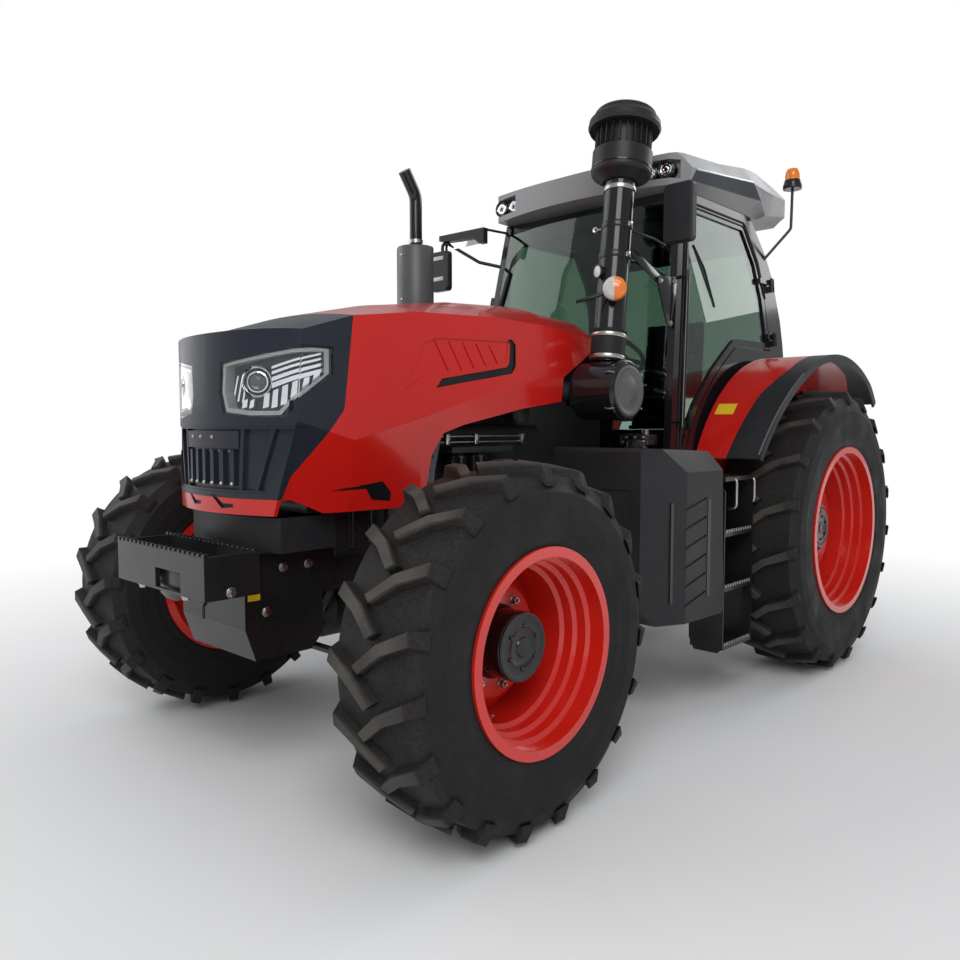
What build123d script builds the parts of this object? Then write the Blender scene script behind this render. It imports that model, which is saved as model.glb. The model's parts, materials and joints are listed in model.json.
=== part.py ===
from build123d import *
import os
from math import cos, hypot, radians, sin, sqrt, tan

# Farm tractor with a closed cab and four driven wheels.
# Millimetres. Front towards -Y, the tractor's left towards +X, +Z up.
# Origin on the ground, under the middle of the overall length.

os.makedirs("parts", exist_ok=True)

# ---------------------------------------------------------------- clearances
pin_fit = 0.3  # radial play of a pin in its eye
door_gap = 8  # gap all round a closed door
sheet = 14  # wall of hood, fenders and other shaped panels

# ---------------------------------------------------------------- wheels
front_axle_y = -1630
rear_axle_y = 1290
front_radius = 688
rear_radius = 860
front_tyre_width = 432
rear_tyre_width = 475
front_wheel_x = 1069  # middle plane of the front tyre
cab_base_half_width = 762  # half width of the cab at cab_base_z
cab_tyre_gap = 57.5
rear_wheel_x = cab_base_half_width + cab_tyre_gap + rear_tyre_width / 2
front_flange_radius = 381
rear_flange_radius = 508
front_hub_radius = 125
rear_hub_radius = 118
lug_height = 40
lug_draft = 9  # how much wider each side of a lug is at its foot
lug_count = 19  # on each half of the tread
tyre_wall = 26
shoulder_drop = 14  # from the crown's radius to the shoulder's
shoulder_inset = 30
rim_wall = 12
flange_height = 25
disc_wall = 16
disc_plate = 10  # extra thickness of the bolted middle of the disc
disc_plate_edge = 212
ledge = 18  # height of each step down inside the rim
ledge_pitch = 50

# name, axle y, tyre radius, tyre width, flange radius, wheel x, hub radius, disc offset, hub reach
WHEELS = (
    ("front", front_axle_y, front_radius, front_tyre_width, front_flange_radius,
     front_wheel_x, front_hub_radius, -64, 150),
    ("rear", rear_axle_y, rear_radius, rear_tyre_width, rear_flange_radius,
     rear_wheel_x, rear_hub_radius, 0, 70),
)
SIDES = (("left", 1), ("right", -1))

# ---------------------------------------------------------------- steering
kingpin_x = 760
kingpin_radius = 30
kingpin_half_span = 120  # middle of the axle end to the outer face of a knuckle arm
axle_end_radius = 78
axle_end_half_height = 90
beam_height = 120
beam_depth = 140
steering_arm = 180
trunnion_radius = 60
trunnion_reach = 210  # from the axle's middle to each end of the trunnion
case_radius = 150  # differential housing
tie_rod_radius = 17
tie_rod_z = front_radius - 150
ball_pin_radius = 12

# ---------------------------------------------------------------- hood
hood_wall = sheet
hood_front_radius = 880
hood_front_y = -2240
hood_rear_y = -89
hood_hinge_y = -130
hood_hinge_z = 2030
hood_pin_radius = 12
hood_eye_x = 200
hood_eye_width = 40

# Sections of the hood: y, bottom half width, bottom z, waist half width, waist z,
# crease half width, crease z, centre line z
HOOD_SECTIONS = (
    (-2320, 352, 1150, 440, 1520, 462, 1836, 1846),
    (-2100, 366, 1150, 455, 1510, 479, 1856, 1890),
    (-1857, 425, 1150, 476, 1440, 474, 1930, 1966),
    (-1500, 460, 1150, 488, 1530, 464, 1980, 2046),
    (-1000, 474, 1150, 488, 1675, 456, 2004, 2116),
    (-550, 476, 1150, 474, 1745, 438, 2000, 2144),
    (0, 455, 1150, 446, 1760, 394, 1960, 2112),
)

# Lower edge of the hood seen from the side: y, z
HOOD_EDGE = (
    (-1464, 1100), (-1464, 1227), (-1440, 1370), (-1373, 1464), (-1250, 1500),
    (-845, 1578), (-520, 1621), (-500, 1746), (-310, 1839), (-225, 1882),
)
# Joint between the black nose and the red panels, seen from the side: y, z
NOSE_EDGE = ((-1857, 2100), (-1857, 1939), (-1905, 1560), (-2110, 1300), (-2135, 1213))

# Hollow in each side panel of the hood, with a black vent along its lower and rear edges, and the
# pointed scoop near the front: y, z
SCALLOP = ((-1600, 1640), (-1500, 1705), (-950, 1795), (-925, 1895), (-1390, 1878), (-1480, 1850))
SIDE_VENT = ((-1417, 1661), (-1381, 1701), (-949, 1774), (-931, 1795), (-914, 1882), (-932, 1905),
             (-896, 1909), (-871, 1886), (-883, 1782), (-913, 1745))
SCOOP = ((-1930, 1240), (-1700, 1268), (-1652, 1220), (-1657, 1183), (-1748, 1193), (-1779, 1240))
# Slots in the red band under the grille: x, z
BAND_SLOTS = (
    ((-172, 1216), (-140, 1214), (-100, 1192), (-50, 1193), (-52, 1179), (-112, 1174)),
    ((33, 1222), (66, 1218), (112, 1191), (172, 1191), (174, 1178), (106, 1170)),
)
scallop_depth = 5
vent_depth = 10
# Ribs left standing in the hollow: place of the top along y, count, pitch, width, lean
rib_start = -1414
rib_count = 5
rib_pitch = 88
rib_width = 12
rib_lean = 38

# ---------------------------------------------------------------- front end
frame_half_width = 250
frame_front_y = -2225
frame_rear_y = -1330
frame_top_z = 1000
frame_nose_bottom_z = 570
frame_fold_z = 700  # the front plate leans back below this fold
frame_nose_rear_y = -1860
frame_rail_bottom_z = 800
frame_rail_width = 90
apron_half_width = 345
apron_top_z = 1138
apron_rear_y = -1860
apron_corner_y = frame_front_y + 105
apron_front_y = frame_front_y + 40
bracket_front_y = -2450
bracket_half_width = 360
bracket_top_z = 1024
bracket_bottom_z = 862
bracket_plate = 16
bracket_window = (-24, 180, 872, 948)  # low and high x, low and high z
tooth_count = 20
tooth_width = 16
tooth_height = 12

# ---------------------------------------------------------------- drive line
engine_half_width = 240
engine_y = (-1330, -420)
engine_z = (front_radius + 72, 1500)
radiator_y = (-2010, -1880)
gearbox_y = (-420, 1060)
gearbox_half_width = 220
gearbox_z = (560, 1090)
axle_case_y = (1060, 1560)
axle_case_half_width = 260
axle_case_z = (560, 1130)
trumpet_radius = 115
trumpet_end_x = 800
drive_shaft_radius = 30
drive_shaft_z = front_radius  # on the trunnion's own centre line

# ---------------------------------------------------------------- fenders
fender_radius = rear_radius + 225
fender_z = rear_radius - 15
fender_start = 26  # degrees above the forward horizontal
fender_end = 132
fender_inner_x = cab_base_half_width + 18

# ---------------------------------------------------------------- cab
cab_base_z = 1400  # height at which the side planes are cab_base_half_width apart
cab_tilt = 4.4  # inward lean of the cab sides
cab_wall = 45
cab_floor_z = (1180, 1230)
seat_base_z = 1470  # top of the raised floor over the axle
cab_front_y = 60
cab_rear_y = 1640
roof_z = 2835
glass = 6

# Outline of a cab side: y, z
SIDE_OUTLINE = (
    (47, 1234), (330, roof_z), (1215, roof_z), (1420, 2620), (1514, 2468), (1600, 2200),
    (1622, 2047), (1640, 1500), (1640, 1234),
)
# Outline of the door opening: y, z
DOOR_OUTLINE = (
    (128, 1290), (392, 2780), (1120, 2780), (1290, 2560), (1375, 2330), (1408, 2120),
    (1415, 1990), (930, 1985), (800, 1905), (630, 1790), (402, 1590), (285, 1450), (215, 1290),
)
door_hinge_y = 1436
door_hinge_out = 26
door_frame_width = 42
door_thick = 30
hinge_pin_radius = 8
hinge_boss_radius = 17
DOOR_HINGES = (2080, 2440)  # heights of the two hinges
strap_gap = 5
strap_thick = 12
rail_radius = 13  # grab rail on each front pillar
rail_out = 46
rail_z = (1520, 2330)
rail_ahead = 34  # rail's distance ahead of the door opening
rear_window_z = (1700, roof_z - 35)
glass_gap = 0.4

# Sections of the roof: y, then above roof_z the underside, the side's lower edge, the belt, the
# shoulder and the centre line; the shoulder's inset comes before its height
roof_half_width = cab_base_half_width - 40
ROOF_SECTIONS = (
    (60, 8, 22, 100, 60, 150, 142),
    (345, 0, 36, 105, 55, 195, 205),
    (760, 0, 64, 142, 62, 232, 262),
    (1105, 0, 86, 180, 70, 285, 300),
    (1235, 0, 92, 172, 76, 296, 312),
    (1300, 0, 14, 166, 80, 298, 314),
    (1600, 0, 62, 165, 96, 272, 290),
    (1735, 105, 112, 165, 110, 232, 250),
)
roof_front_y = 130
roof_corner_y = 230
roof_rear_y = 1735
lamp_radius = 42
lamp_x = (510, 614)
lamp_z = roof_z + 92
lamp_pocket_y = 300  # back wall of the pockets that hold the front lamps


def save(piece, name):
    """Label a finished piece and write it as its own STEP file."""
    piece.part.label = name
    export_step(piece.part, f"parts/{name}.step")


def side_plane(side, out=0):
    """Plane of a cab side: local x runs rearward, local y up the slope."""
    lean = radians(cab_tilt)
    return Plane(
        origin=(side * (cab_base_half_width + out * cos(lean)), 0, cab_base_z + out * sin(lean)),
        x_dir=(0, 1, 0),
        z_dir=(side * cos(lean), 0, sin(lean)),
    )


def side_outer_x(height):
    """Half width over the cab's side walls at a height."""
    return cab_base_half_width - (height - cab_base_z) * tan(radians(cab_tilt))


def side_inner_x(height):
    """Half width inside the cab's side walls at a height."""
    return side_outer_x(height) - cab_wall / cos(radians(cab_tilt))


def slope_dir(side):
    """Direction up a cab side."""
    return Vector(-side * sin(radians(cab_tilt)), 0, cos(radians(cab_tilt)))


def hinge_point(side, height):
    """Point of the door hinge axis at a height measured at the side plane."""
    lean = radians(cab_tilt)
    surface = Vector(side * side_outer_x(height), door_hinge_y, height)
    return surface + Vector(side * cos(lean), 0, sin(lean)) * door_hinge_out


def on_slope(points, side):
    """Points given as (y, z) turned into the side plane's own coordinates."""
    flip = 1 if side > 0 else -1
    return [(y, flip * (z - cab_base_z) / cos(radians(cab_tilt))) for y, z in points]


# ---------------------------------------------------------------- wheels
for axle, axle_y, radius, width, flange, wheel_x, hub_radius, disc_at, hub_reach in WHEELS:
    seat = flange - flange_height
    rim_half = width / 2 - 22
    tread_half = width / 2 - shoulder_inset
    crown = radius - lug_height
    shoulder = crown - shoulder_drop
    middle_height = (flange + radius) / 2 - 10
    wheel_plane = Plane(origin=(wheel_x, axle_y, radius), x_dir=(1, 0, 0), z_dir=(0, -1, 0))
    wheel_axis = Axis((wheel_x, axle_y, radius), (1, 0, 0))

    # Sections along one lug, from the middle of the tread over the shoulder: across, along the
    # tread (front negative), top radius, foot radius, half width, heading in degrees
    lug_sections = (
        (-26, -128, radius - 1, crown - 14, 17, 52),
        (70, -50, radius - 4, crown - 18, 19, 38),
        (tread_half - 4, 4, radius - 15, shoulder - 20, 23, 12),
        (tread_half + 24, 12, radius - 74, crown - 50, 26, 4),
    )
    with BuildPart() as lug:
        for across, along, top, foot, half, heading in lug_sections:
            outward = Vector(0, sin(along / radius), cos(along / radius))
            forward = Vector(0, cos(along / radius), -sin(along / radius))
            path = Vector(cos(radians(heading)), 0, 0) + forward * sin(radians(heading))
            with BuildSketch(Plane(origin=(wheel_x + across, axle_y, radius),
                                   x_dir=outward.cross(path), z_dir=path)):
                with BuildLine():
                    Polyline((-half, top), (half, top), (half + lug_draft, foot),
                             (-half - lug_draft, foot), close=True)
                make_face()
        loft(ruled=True)
    mirrored_lug = lug.part.mirror(Plane.YZ.offset(wheel_x)).rotate(wheel_axis, 180 / lug_count)

    # Section of one side of the casing, from the inside of the crown round the bead to its outside
    casing = (
        (0, crown - tyre_wall), (tread_half - 20, shoulder - tyre_wall),
        (width / 2 - tyre_wall, middle_height), (rim_half - 40, flange + 10), (rim_half - 40, seat),
        (rim_half, seat), (rim_half, flange), (width / 2 - 10, flange + 52),
        (width / 2, middle_height - 10), (width / 2 - 4, middle_height + 52),
        (tread_half + 8, shoulder - 30), (tread_half - 6, shoulder), (0, crown),
    )
    with BuildPart() as tyre:
        with BuildSketch(wheel_plane):
            with BuildLine():
                Polyline(*casing, *[(-x, r) for x, r in reversed(casing[1:-1])], close=True)
            make_face()
        revolve(axis=wheel_axis)
        turns = [turn * 360 / lug_count for turn in range(lug_count)]
        add([one.rotate(wheel_axis, turn) for one in (lug.part, mirrored_lug) for turn in turns])

    well = seat - 3 * ledge
    plate = disc_at + disc_wall / 2
    ledges = []  # steps inside the outer half of the rim, from the disc outwards
    for step in (3, 2, 1):
        step_x = rim_half - 12 - step * ledge_pitch
        ledges += [(step_x, seat - step * ledge - rim_wall),
                   (step_x + 10, seat - (step - 1) * ledge - rim_wall)]
    with BuildPart() as rim:
        with BuildSketch(wheel_plane):
            with BuildLine():
                Polyline(
                    (rim_half + rim_wall, flange), (rim_half, flange), (rim_half, seat),
                    *[(x - 14, r + rim_wall) for x, r in reversed(ledges)],
                    (-rim_half + 84, well), (-rim_half + 62, seat), (-rim_half, seat),
                    (-rim_half, flange), (-rim_half - rim_wall, flange),
                    (-rim_half - rim_wall, seat - rim_wall), (-rim_half + 55, seat - rim_wall),
                    (-rim_half + 77, well - rim_wall), (disc_at - 70, well - rim_wall),
                    (disc_at - disc_wall / 2, seat * 0.62), (disc_at - disc_wall / 2, hub_radius),
                    (disc_at - 60, hub_radius), (disc_at - 60, 0), (disc_at + hub_reach, 0),
                    (disc_at + hub_reach, hub_radius - 26), (disc_at + hub_reach - 8, hub_radius - 16),
                    (disc_at + hub_reach - 16, hub_radius), (plate + disc_plate, hub_radius),
                    (plate + disc_plate, disc_plate_edge), (plate, disc_plate_edge + 6),
                    (plate, seat * 0.62), (disc_at - 50, well - rim_wall), *ledges,
                    (rim_half + rim_wall, seat - rim_wall), close=True,
                )
            make_face()
        revolve(axis=wheel_axis)
    for side_name, side in SIDES:
        for piece, name in ((tyre, "tyre"), (rim, "rim")):
            with BuildPart() as placed:
                add(piece.part if side > 0 else piece.part.mirror(Plane.YZ))
            save(placed, f"{name}_{axle}_{side_name}")

# ---------------------------------------------------------------- front axle
hub_back_x = front_wheel_x - 64 - 60  # inner face of the front hub
with BuildPart() as front_axle:
    with BuildSketch(Plane.YZ.offset(-kingpin_x)):
        with Locations((front_axle_y, front_radius)):
            RectangleRounded(beam_depth, beam_height, 30)
    extrude(amount=2 * kingpin_x)
    with BuildSketch(Plane(origin=(0, front_axle_y, front_radius), x_dir=(1, 0, 0), z_dir=(0, 0, 1))):
        with BuildLine():
            Polyline((0, -trunnion_reach), (trunnion_radius, -trunnion_reach), (trunnion_radius, -150),
                     (case_radius - 40, -130), (case_radius, -80), (case_radius, 60), (100, 130),
                     (trunnion_radius, 150), (trunnion_radius, trunnion_reach), (0, trunnion_reach),
                     close=True)
        make_face()
    revolve(axis=Axis((0, front_axle_y, front_radius), (0, 1, 0)))
    for end in (-kingpin_x, kingpin_x):
        with BuildSketch(Plane.XY.offset(front_radius - axle_end_half_height)):
            with Locations((end, front_axle_y)):
                Circle(axle_end_radius)
        extrude(amount=2 * axle_end_half_height)
        with Locations((end, front_axle_y, front_radius)):
            Hole(kingpin_radius + pin_fit)
    with BuildSketch(Plane.XZ.offset(-gearbox_y[0])):
        with Locations((0, drive_shaft_z)):
            Circle(drive_shaft_radius)
    extrude(amount=gearbox_y[0] - front_axle_y - trunnion_reach + 20)
save(front_axle, "front_axle")

for side_name, side in SIDES:
    arm_depth = kingpin_half_span - axle_end_half_height - 6
    with BuildPart() as knuckle:
        for end in (-1, 1):
            arm_z = front_radius + end * (axle_end_half_height + 6 + arm_depth / 2)
            with BuildSketch(Plane.XY.offset(arm_z - arm_depth / 2)):
                with Locations((side * kingpin_x, front_axle_y)):
                    Circle(66)
                with Locations((side * (kingpin_x + 60), front_axle_y)):
                    Rectangle(120, 110)
            extrude(amount=arm_depth)
            pin_z = front_radius + end * (kingpin_half_span / 2 + 30)
            with Locations((side * kingpin_x, front_axle_y, pin_z)):
                Cylinder(kingpin_radius, kingpin_half_span - 60)
        with BuildSketch(Plane.YZ.offset(side * (kingpin_x + 88))):
            with Locations((front_axle_y, front_radius)):
                RectangleRounded(190, 2 * kingpin_half_span, 40)
        extrude(amount=side * 32)
        with BuildSketch(Plane.YZ.offset(side * (kingpin_x + 110))):
            with Locations((front_axle_y, front_radius)):
                Circle(112)
        extrude(amount=side * (hub_back_x - kingpin_x - 110))
        with BuildSketch(Plane.XY.offset(tie_rod_z + 26)):
            with BuildLine():
                Polyline(
                    (side * (kingpin_x - 34), front_axle_y - steering_arm),
                    (side * (kingpin_x - 60), front_axle_y + 20),
                    (side * (kingpin_x + 90), front_axle_y + 20),
                    (side * (kingpin_x + 90), front_axle_y - 80),
                    (side * (kingpin_x + 34), front_axle_y - steering_arm),
                    close=True,
                )
            make_face()
            with Locations((side * kingpin_x, front_axle_y - steering_arm)):
                Circle(34)
        extrude(amount=front_radius - kingpin_half_span - tie_rod_z - 26 + arm_depth)
        with Locations((side * kingpin_x, front_axle_y - steering_arm, tie_rod_z + 10)):
            Cylinder(ball_pin_radius, 72)
    save(knuckle, f"knuckle_{side_name}")

with BuildPart() as tie_rod:
    with BuildSketch(Plane.YZ.offset(-kingpin_x)):
        with Locations((front_axle_y - steering_arm, tie_rod_z)):
            Circle(tie_rod_radius)
    extrude(amount=2 * kingpin_x)
    for end in (-kingpin_x, kingpin_x):
        with BuildSketch(Plane.XY.offset(tie_rod_z - 22)):
            with Locations((end, front_axle_y - steering_arm)):
                Circle(32)
        extrude(amount=44)
        with Locations((end, front_axle_y - steering_arm, tie_rod_z)):
            Hole(ball_pin_radius + pin_fit)
save(tie_rod, "tie_rod")

# ---------------------------------------------------------------- front frame and ballast bracket
with BuildPart() as front_frame:
    with BuildSketch(Plane.YZ.offset(-frame_half_width)):
        with BuildLine():
            Polyline(
                (frame_front_y, frame_top_z), (frame_rear_y, frame_top_z),
                (frame_rear_y, frame_rail_bottom_z), (frame_nose_rear_y, frame_rail_bottom_z),
                (frame_nose_rear_y, frame_nose_bottom_z + 60),
                (frame_nose_rear_y - 60, frame_nose_bottom_z),
                (frame_front_y + 45, frame_nose_bottom_z), (frame_front_y, frame_fold_z), close=True,
            )
        make_face()
    extrude(amount=2 * frame_half_width)
    with Locations((0, (frame_nose_rear_y + frame_rear_y) / 2, frame_top_z)):
        Box(2 * (frame_half_width - frame_rail_width), frame_rear_y - frame_nose_rear_y + 2,
            2 * (frame_top_z - frame_rail_bottom_z) + 2, mode=Mode.SUBTRACT)
    for end in (-1, 1):
        saddle_y = front_axle_y + end * 185
        with BuildSketch(Plane.XZ.offset(-saddle_y - 22)):
            with BuildLine():
                Polyline((-frame_half_width, frame_rail_bottom_z + 40),
                         (-frame_half_width, frame_rail_bottom_z), (-90, front_radius - 95),
                         (90, front_radius - 95), (frame_half_width, frame_rail_bottom_z),
                         (frame_half_width, frame_rail_bottom_z + 40), close=True)
            make_face()
            with Locations((0, front_radius)):
                Circle(trunnion_radius + pin_fit, mode=Mode.SUBTRACT)
        extrude(amount=44)
save(front_frame, "front_frame")

with BuildPart() as apron:
    with BuildSketch(Plane.XY.offset(frame_top_z)):
        with BuildLine():
            Line((-apron_half_width, apron_rear_y), (-apron_half_width, apron_corner_y))
            ThreePointArc((-apron_half_width, apron_corner_y), (0, apron_front_y),
                          (apron_half_width, apron_corner_y))
            Line((apron_half_width, apron_corner_y), (apron_half_width, apron_rear_y))
            Line((apron_half_width, apron_rear_y), (-apron_half_width, apron_rear_y))
        make_face()
    extrude(amount=apron_top_z - frame_top_z)
    offset(amount=-sheet, openings=[apron.faces().sort_by(Axis.Z)[-1]])
save(apron, "nose_apron")

bracket_depth = frame_front_y - bracket_front_y
bracket_middle_y = (bracket_front_y + frame_front_y) / 2
window_x, window_x_end, window_z, window_z_end = bracket_window
with BuildPart() as bracket:
    with BuildSketch(Plane.XY.offset(bracket_bottom_z)):
        with Locations((0, bracket_middle_y)):
            Rectangle(2 * bracket_half_width, bracket_depth)
            Rectangle(2 * (bracket_half_width - bracket_plate), bracket_depth - 2 * bracket_plate,
                      mode=Mode.SUBTRACT)
    extrude(amount=bracket_top_z - bracket_bottom_z)
    with Locations(((window_x + window_x_end) / 2, bracket_front_y, (window_z + window_z_end) / 2)):
        Box(window_x_end - window_x, 4 * bracket_plate, window_z_end - window_z, mode=Mode.SUBTRACT)
    # Teeth that hold ballast weights, along the top of the front and rear plates
    with Locations((0, bracket_middle_y, bracket_top_z + tooth_height / 2)):
        with GridLocations((2 * bracket_half_width - tooth_width) / (tooth_count - 1),
                           bracket_depth - bracket_plate, tooth_count, 2):
            Box(tooth_width, bracket_plate, tooth_height)
save(bracket, "ballast_bracket")

# ---------------------------------------------------------------- engine and drive line
with BuildPart() as engine:
    with BuildSketch(Plane.XZ.offset(-engine_y[1])):
        with Locations((0, (engine_z[0] + engine_z[1]) / 2)):
            RectangleRounded(2 * engine_half_width, engine_z[1] - engine_z[0], 40)
    extrude(amount=engine_y[1] - engine_y[0])
save(engine, "engine_block")

with BuildPart() as radiator:
    with Locations((0, sum(radiator_y) / 2, 1465)):
        Box(720, radiator_y[1] - radiator_y[0], 630)
    with Locations((0, sum(radiator_y) / 2, (frame_top_z + sheet + 1160) / 2)):
        Box(400, 80, 1160 - frame_top_z - sheet)
save(radiator, "radiator")

with BuildPart() as gearbox:
    with BuildSketch(Plane.XZ.offset(-gearbox_y[1])):
        with Locations((0, sum(gearbox_z) / 2)):
            RectangleRounded(2 * gearbox_half_width, gearbox_z[1] - gearbox_z[0], 60)
    extrude(amount=gearbox_y[1] - gearbox_y[0])
save(gearbox, "transmission_housing")

with BuildPart() as axle_case:
    with BuildSketch(Plane.XZ.offset(-axle_case_y[1])):
        with Locations((0, sum(axle_case_z) / 2)):
            RectangleRounded(2 * axle_case_half_width, axle_case_z[1] - axle_case_z[0], 50)
    extrude(amount=axle_case_y[1] - axle_case_y[0])
    with BuildSketch(Plane.YZ.offset(-trumpet_end_x)):
        with Locations((rear_axle_y, rear_radius)):
            Circle(trumpet_radius)
    extrude(amount=2 * trumpet_end_x)
    with BuildSketch(Plane.YZ.offset(-rear_wheel_x + 60.5)):
        with Locations((rear_axle_y, rear_radius)):
            Circle(62)
    extrude(amount=2 * rear_wheel_x - 121)
save(axle_case, "rear_axle_housing")

# ---------------------------------------------------------------- hood


def hood_body(inset):
    """Lofted body of the hood, pulled in by inset on every side but the bottom."""
    with BuildPart() as body:
        for y, w_low, z_low, w_waist, z_waist, w_crease, z_crease, z_mid in HOOD_SECTIONS:
            low = z_low - 6 * inset
            with BuildSketch(Plane.XZ.offset(-y)):
                with BuildLine():
                    Polyline((-w_crease + inset, z_crease - inset), (-w_waist + inset, z_waist),
                             (-w_low + inset, low), (w_low - inset, low),
                             (w_waist - inset, z_waist), (w_crease - inset, z_crease - inset))
                    ThreePointArc((w_crease - inset, z_crease - inset), (0, z_mid - inset),
                                  (-w_crease + inset, z_crease - inset))
                make_face()
        loft(ruled=True)
        arc_y = hood_front_y + hood_front_radius
        front = hood_front_radius - inset
        half = 620
        with BuildSketch(Plane.XY.offset(900)):
            with BuildLine():
                ThreePointArc((-half, arc_y - sqrt(front**2 - half**2)), (0, arc_y - front),
                              (half, arc_y - sqrt(front**2 - half**2)))
                Line((half, arc_y - sqrt(front**2 - half**2)), (half, hood_rear_y - 190))
                ThreePointArc((half, hood_rear_y - 190), (0, hood_rear_y), (-half, hood_rear_y - 190))
                Line((-half, hood_rear_y - 190), (-half, arc_y - sqrt(front**2 - half**2)))
            make_face()
        extrude(amount=1500, mode=Mode.INTERSECT)
    return body.part


def edge_region(points, ahead):
    """Solid across the whole width, on one side of a joint line given as (y, z)."""
    limit = -2500 if ahead else 200
    with BuildPart() as region:
        with BuildSketch(Plane.YZ.offset(-700)):
            with BuildLine():
                Polyline((limit, points[0][1]), *points, (limit, points[-1][1]), close=True)
            make_face()
        extrude(amount=1400)
    return region.part


def nose_prism(outline, back_y, mirrored=False):
    """Block running back from ahead of the nose, with an outline given as (x, z)."""
    with BuildPart() as prism:
        with BuildSketch(Plane.XZ.offset(-back_y)):
            with BuildLine():
                Polyline(*outline, close=True)
            make_face()
        extrude(amount=500)
        if mirrored:
            mirror(about=Plane.YZ)
    return prism.part


def side_prism(outline):
    """Block across the whole width with an outline given as (y, z)."""
    with BuildPart() as prism:
        with BuildSketch(Plane.YZ.offset(-700)):
            with BuildLine():
                Polyline(*outline, close=True)
            make_face()
        extrude(amount=1400)
    return prism.part


hood_outside = hood_body(0)
hood_inside = hood_body(hood_wall)
hood_skin = hood_outside - hood_inside - edge_region(HOOD_EDGE, False)
nose_zone = edge_region(NOSE_EDGE, True)
ribs = []
for rib_y in [rib_start + rib * rib_pitch for rib in range(rib_count)]:
    ribs.append(side_prism(((rib_y, 1870), (rib_y + rib_width, 1870),
                            (rib_y + rib_width + 2 * rib_lean, 1740), (rib_y + 2 * rib_lean, 1740))))
hollow = hood_outside - hood_body(scallop_depth)
slots = hood_outside - hood_body(vent_depth)

with BuildPart() as hood_shell:
    add(hood_skin - nose_zone)
    add((hollow & side_prism(SCALLOP)) - ribs, mode=Mode.SUBTRACT)
    for outline in (SIDE_VENT, SCOOP):
        add(slots & side_prism(outline), mode=Mode.SUBTRACT)
    for outline in BAND_SLOTS:
        add(slots & nose_prism(outline, hood_front_y + 100), mode=Mode.SUBTRACT)
    for end in (-1, 1):
        with BuildSketch(Plane.YZ.offset(end * hood_eye_x - hood_eye_width / 2)):
            with BuildLine():
                Polyline((hood_hinge_y - 60, hood_hinge_z + 16), (hood_hinge_y - 26, hood_hinge_z - 20),
                         (hood_hinge_y + 22, hood_hinge_z - 20), (hood_hinge_y + 22, hood_hinge_z + 34),
                         (hood_hinge_y - 60, hood_hinge_z + 40), close=True)
            make_face()
            with Locations((hood_hinge_y, hood_hinge_z)):
                Circle(hood_pin_radius + pin_fit, mode=Mode.SUBTRACT)
        extrude(amount=hood_eye_width)
save(hood_shell, "hood_shell")

# Outlines on the nose seen from the front: x, z
HEADLIGHT = ((103, 1620), (112, 1740), (317, 1769), (462, 1790), (492, 1816), (492, 1600), (412, 1528),
             (267, 1530), (125, 1545))
GRILLE = ((-332, 1236), (-346, 1262), (-422, 1386), (-456, 1494), (456, 1494), (422, 1386), (346, 1262),
          (332, 1236))
# Cut that slopes the lamp's rear lower corner, seen from the side: y, z
LAMP_CORNER = ((-1940, 1690), (-1967, 1690), (-2120, 1590), (-2120, 1480), (-1940, 1480))
headlight_back_y = -1955
# Upright bars of the grille: x at the foot, x at the top, z of the foot, z of the top, width
GRILLE_BARS = (
    (-160, -160, 1262, 1400, 24), (-96, -96, 1262, 1400, 24), (-32, -32, 1262, 1400, 24),
    (32, 32, 1262, 1400, 24), (96, 96, 1262, 1400, 24), (160, 160, 1262, 1400, 24),
    (-205, -222, 1240, 1490, 16), (205, 222, 1240, 1490, 16),
    (-280, -362, 1240, 1490, 18), (280, 362, 1240, 1490, 18),
)
grille_depth = 24  # how far the back of the grille lies behind the nose's surface
grille_sheet = 8

headlight_zone = nose_prism(HEADLIGHT, headlight_back_y, True) - side_prism(LAMP_CORNER)
grille_zone = nose_prism(GRILLE, -2040)
nose_skin = hood_skin & nose_zone
with BuildPart() as nose:
    add(nose_skin - headlight_zone - grille_zone)
save(nose, "nose_mask")

with BuildPart() as headlights:
    add(nose_skin & headlight_zone)
save(headlights, "headlights")

grille_back = hood_body(grille_depth)
with BuildPart() as grille:
    add((grille_back - hood_body(grille_depth + grille_sheet)) & grille_zone)
    bars = [nose_prism(((foot_x - width / 2, foot), (top_x - width / 2, top), (top_x + width / 2, top),
                        (foot_x + width / 2, foot)), -2100)
            for foot_x, top_x, foot, top, width in GRILLE_BARS]
    bars.append(nose_prism(((-200, 1408), (200, 1408), (200, 1476), (-200, 1476)), -2100))
    band = (hood_body(hood_wall / 2) - grille_back) & grille_zone
    add([band & bar for bar in bars])
    # Rim that closes the gap between the back of the grille and the nose
    rim_band = (hood_outside - grille_back) & grille_zone
    with BuildPart(mode=Mode.PRIVATE) as inner_zone:
        with BuildSketch(Plane.XZ.offset(-grille_zone.bounding_box().max.Y)):
            with BuildLine():
                Polyline(*GRILLE, close=True)
            make_face()
            offset(amount=-10, mode=Mode.REPLACE)
        extrude(amount=600)
    add((rim_band & hood_body(4)) - inner_zone.part)
save(grille, "grille")

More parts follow.
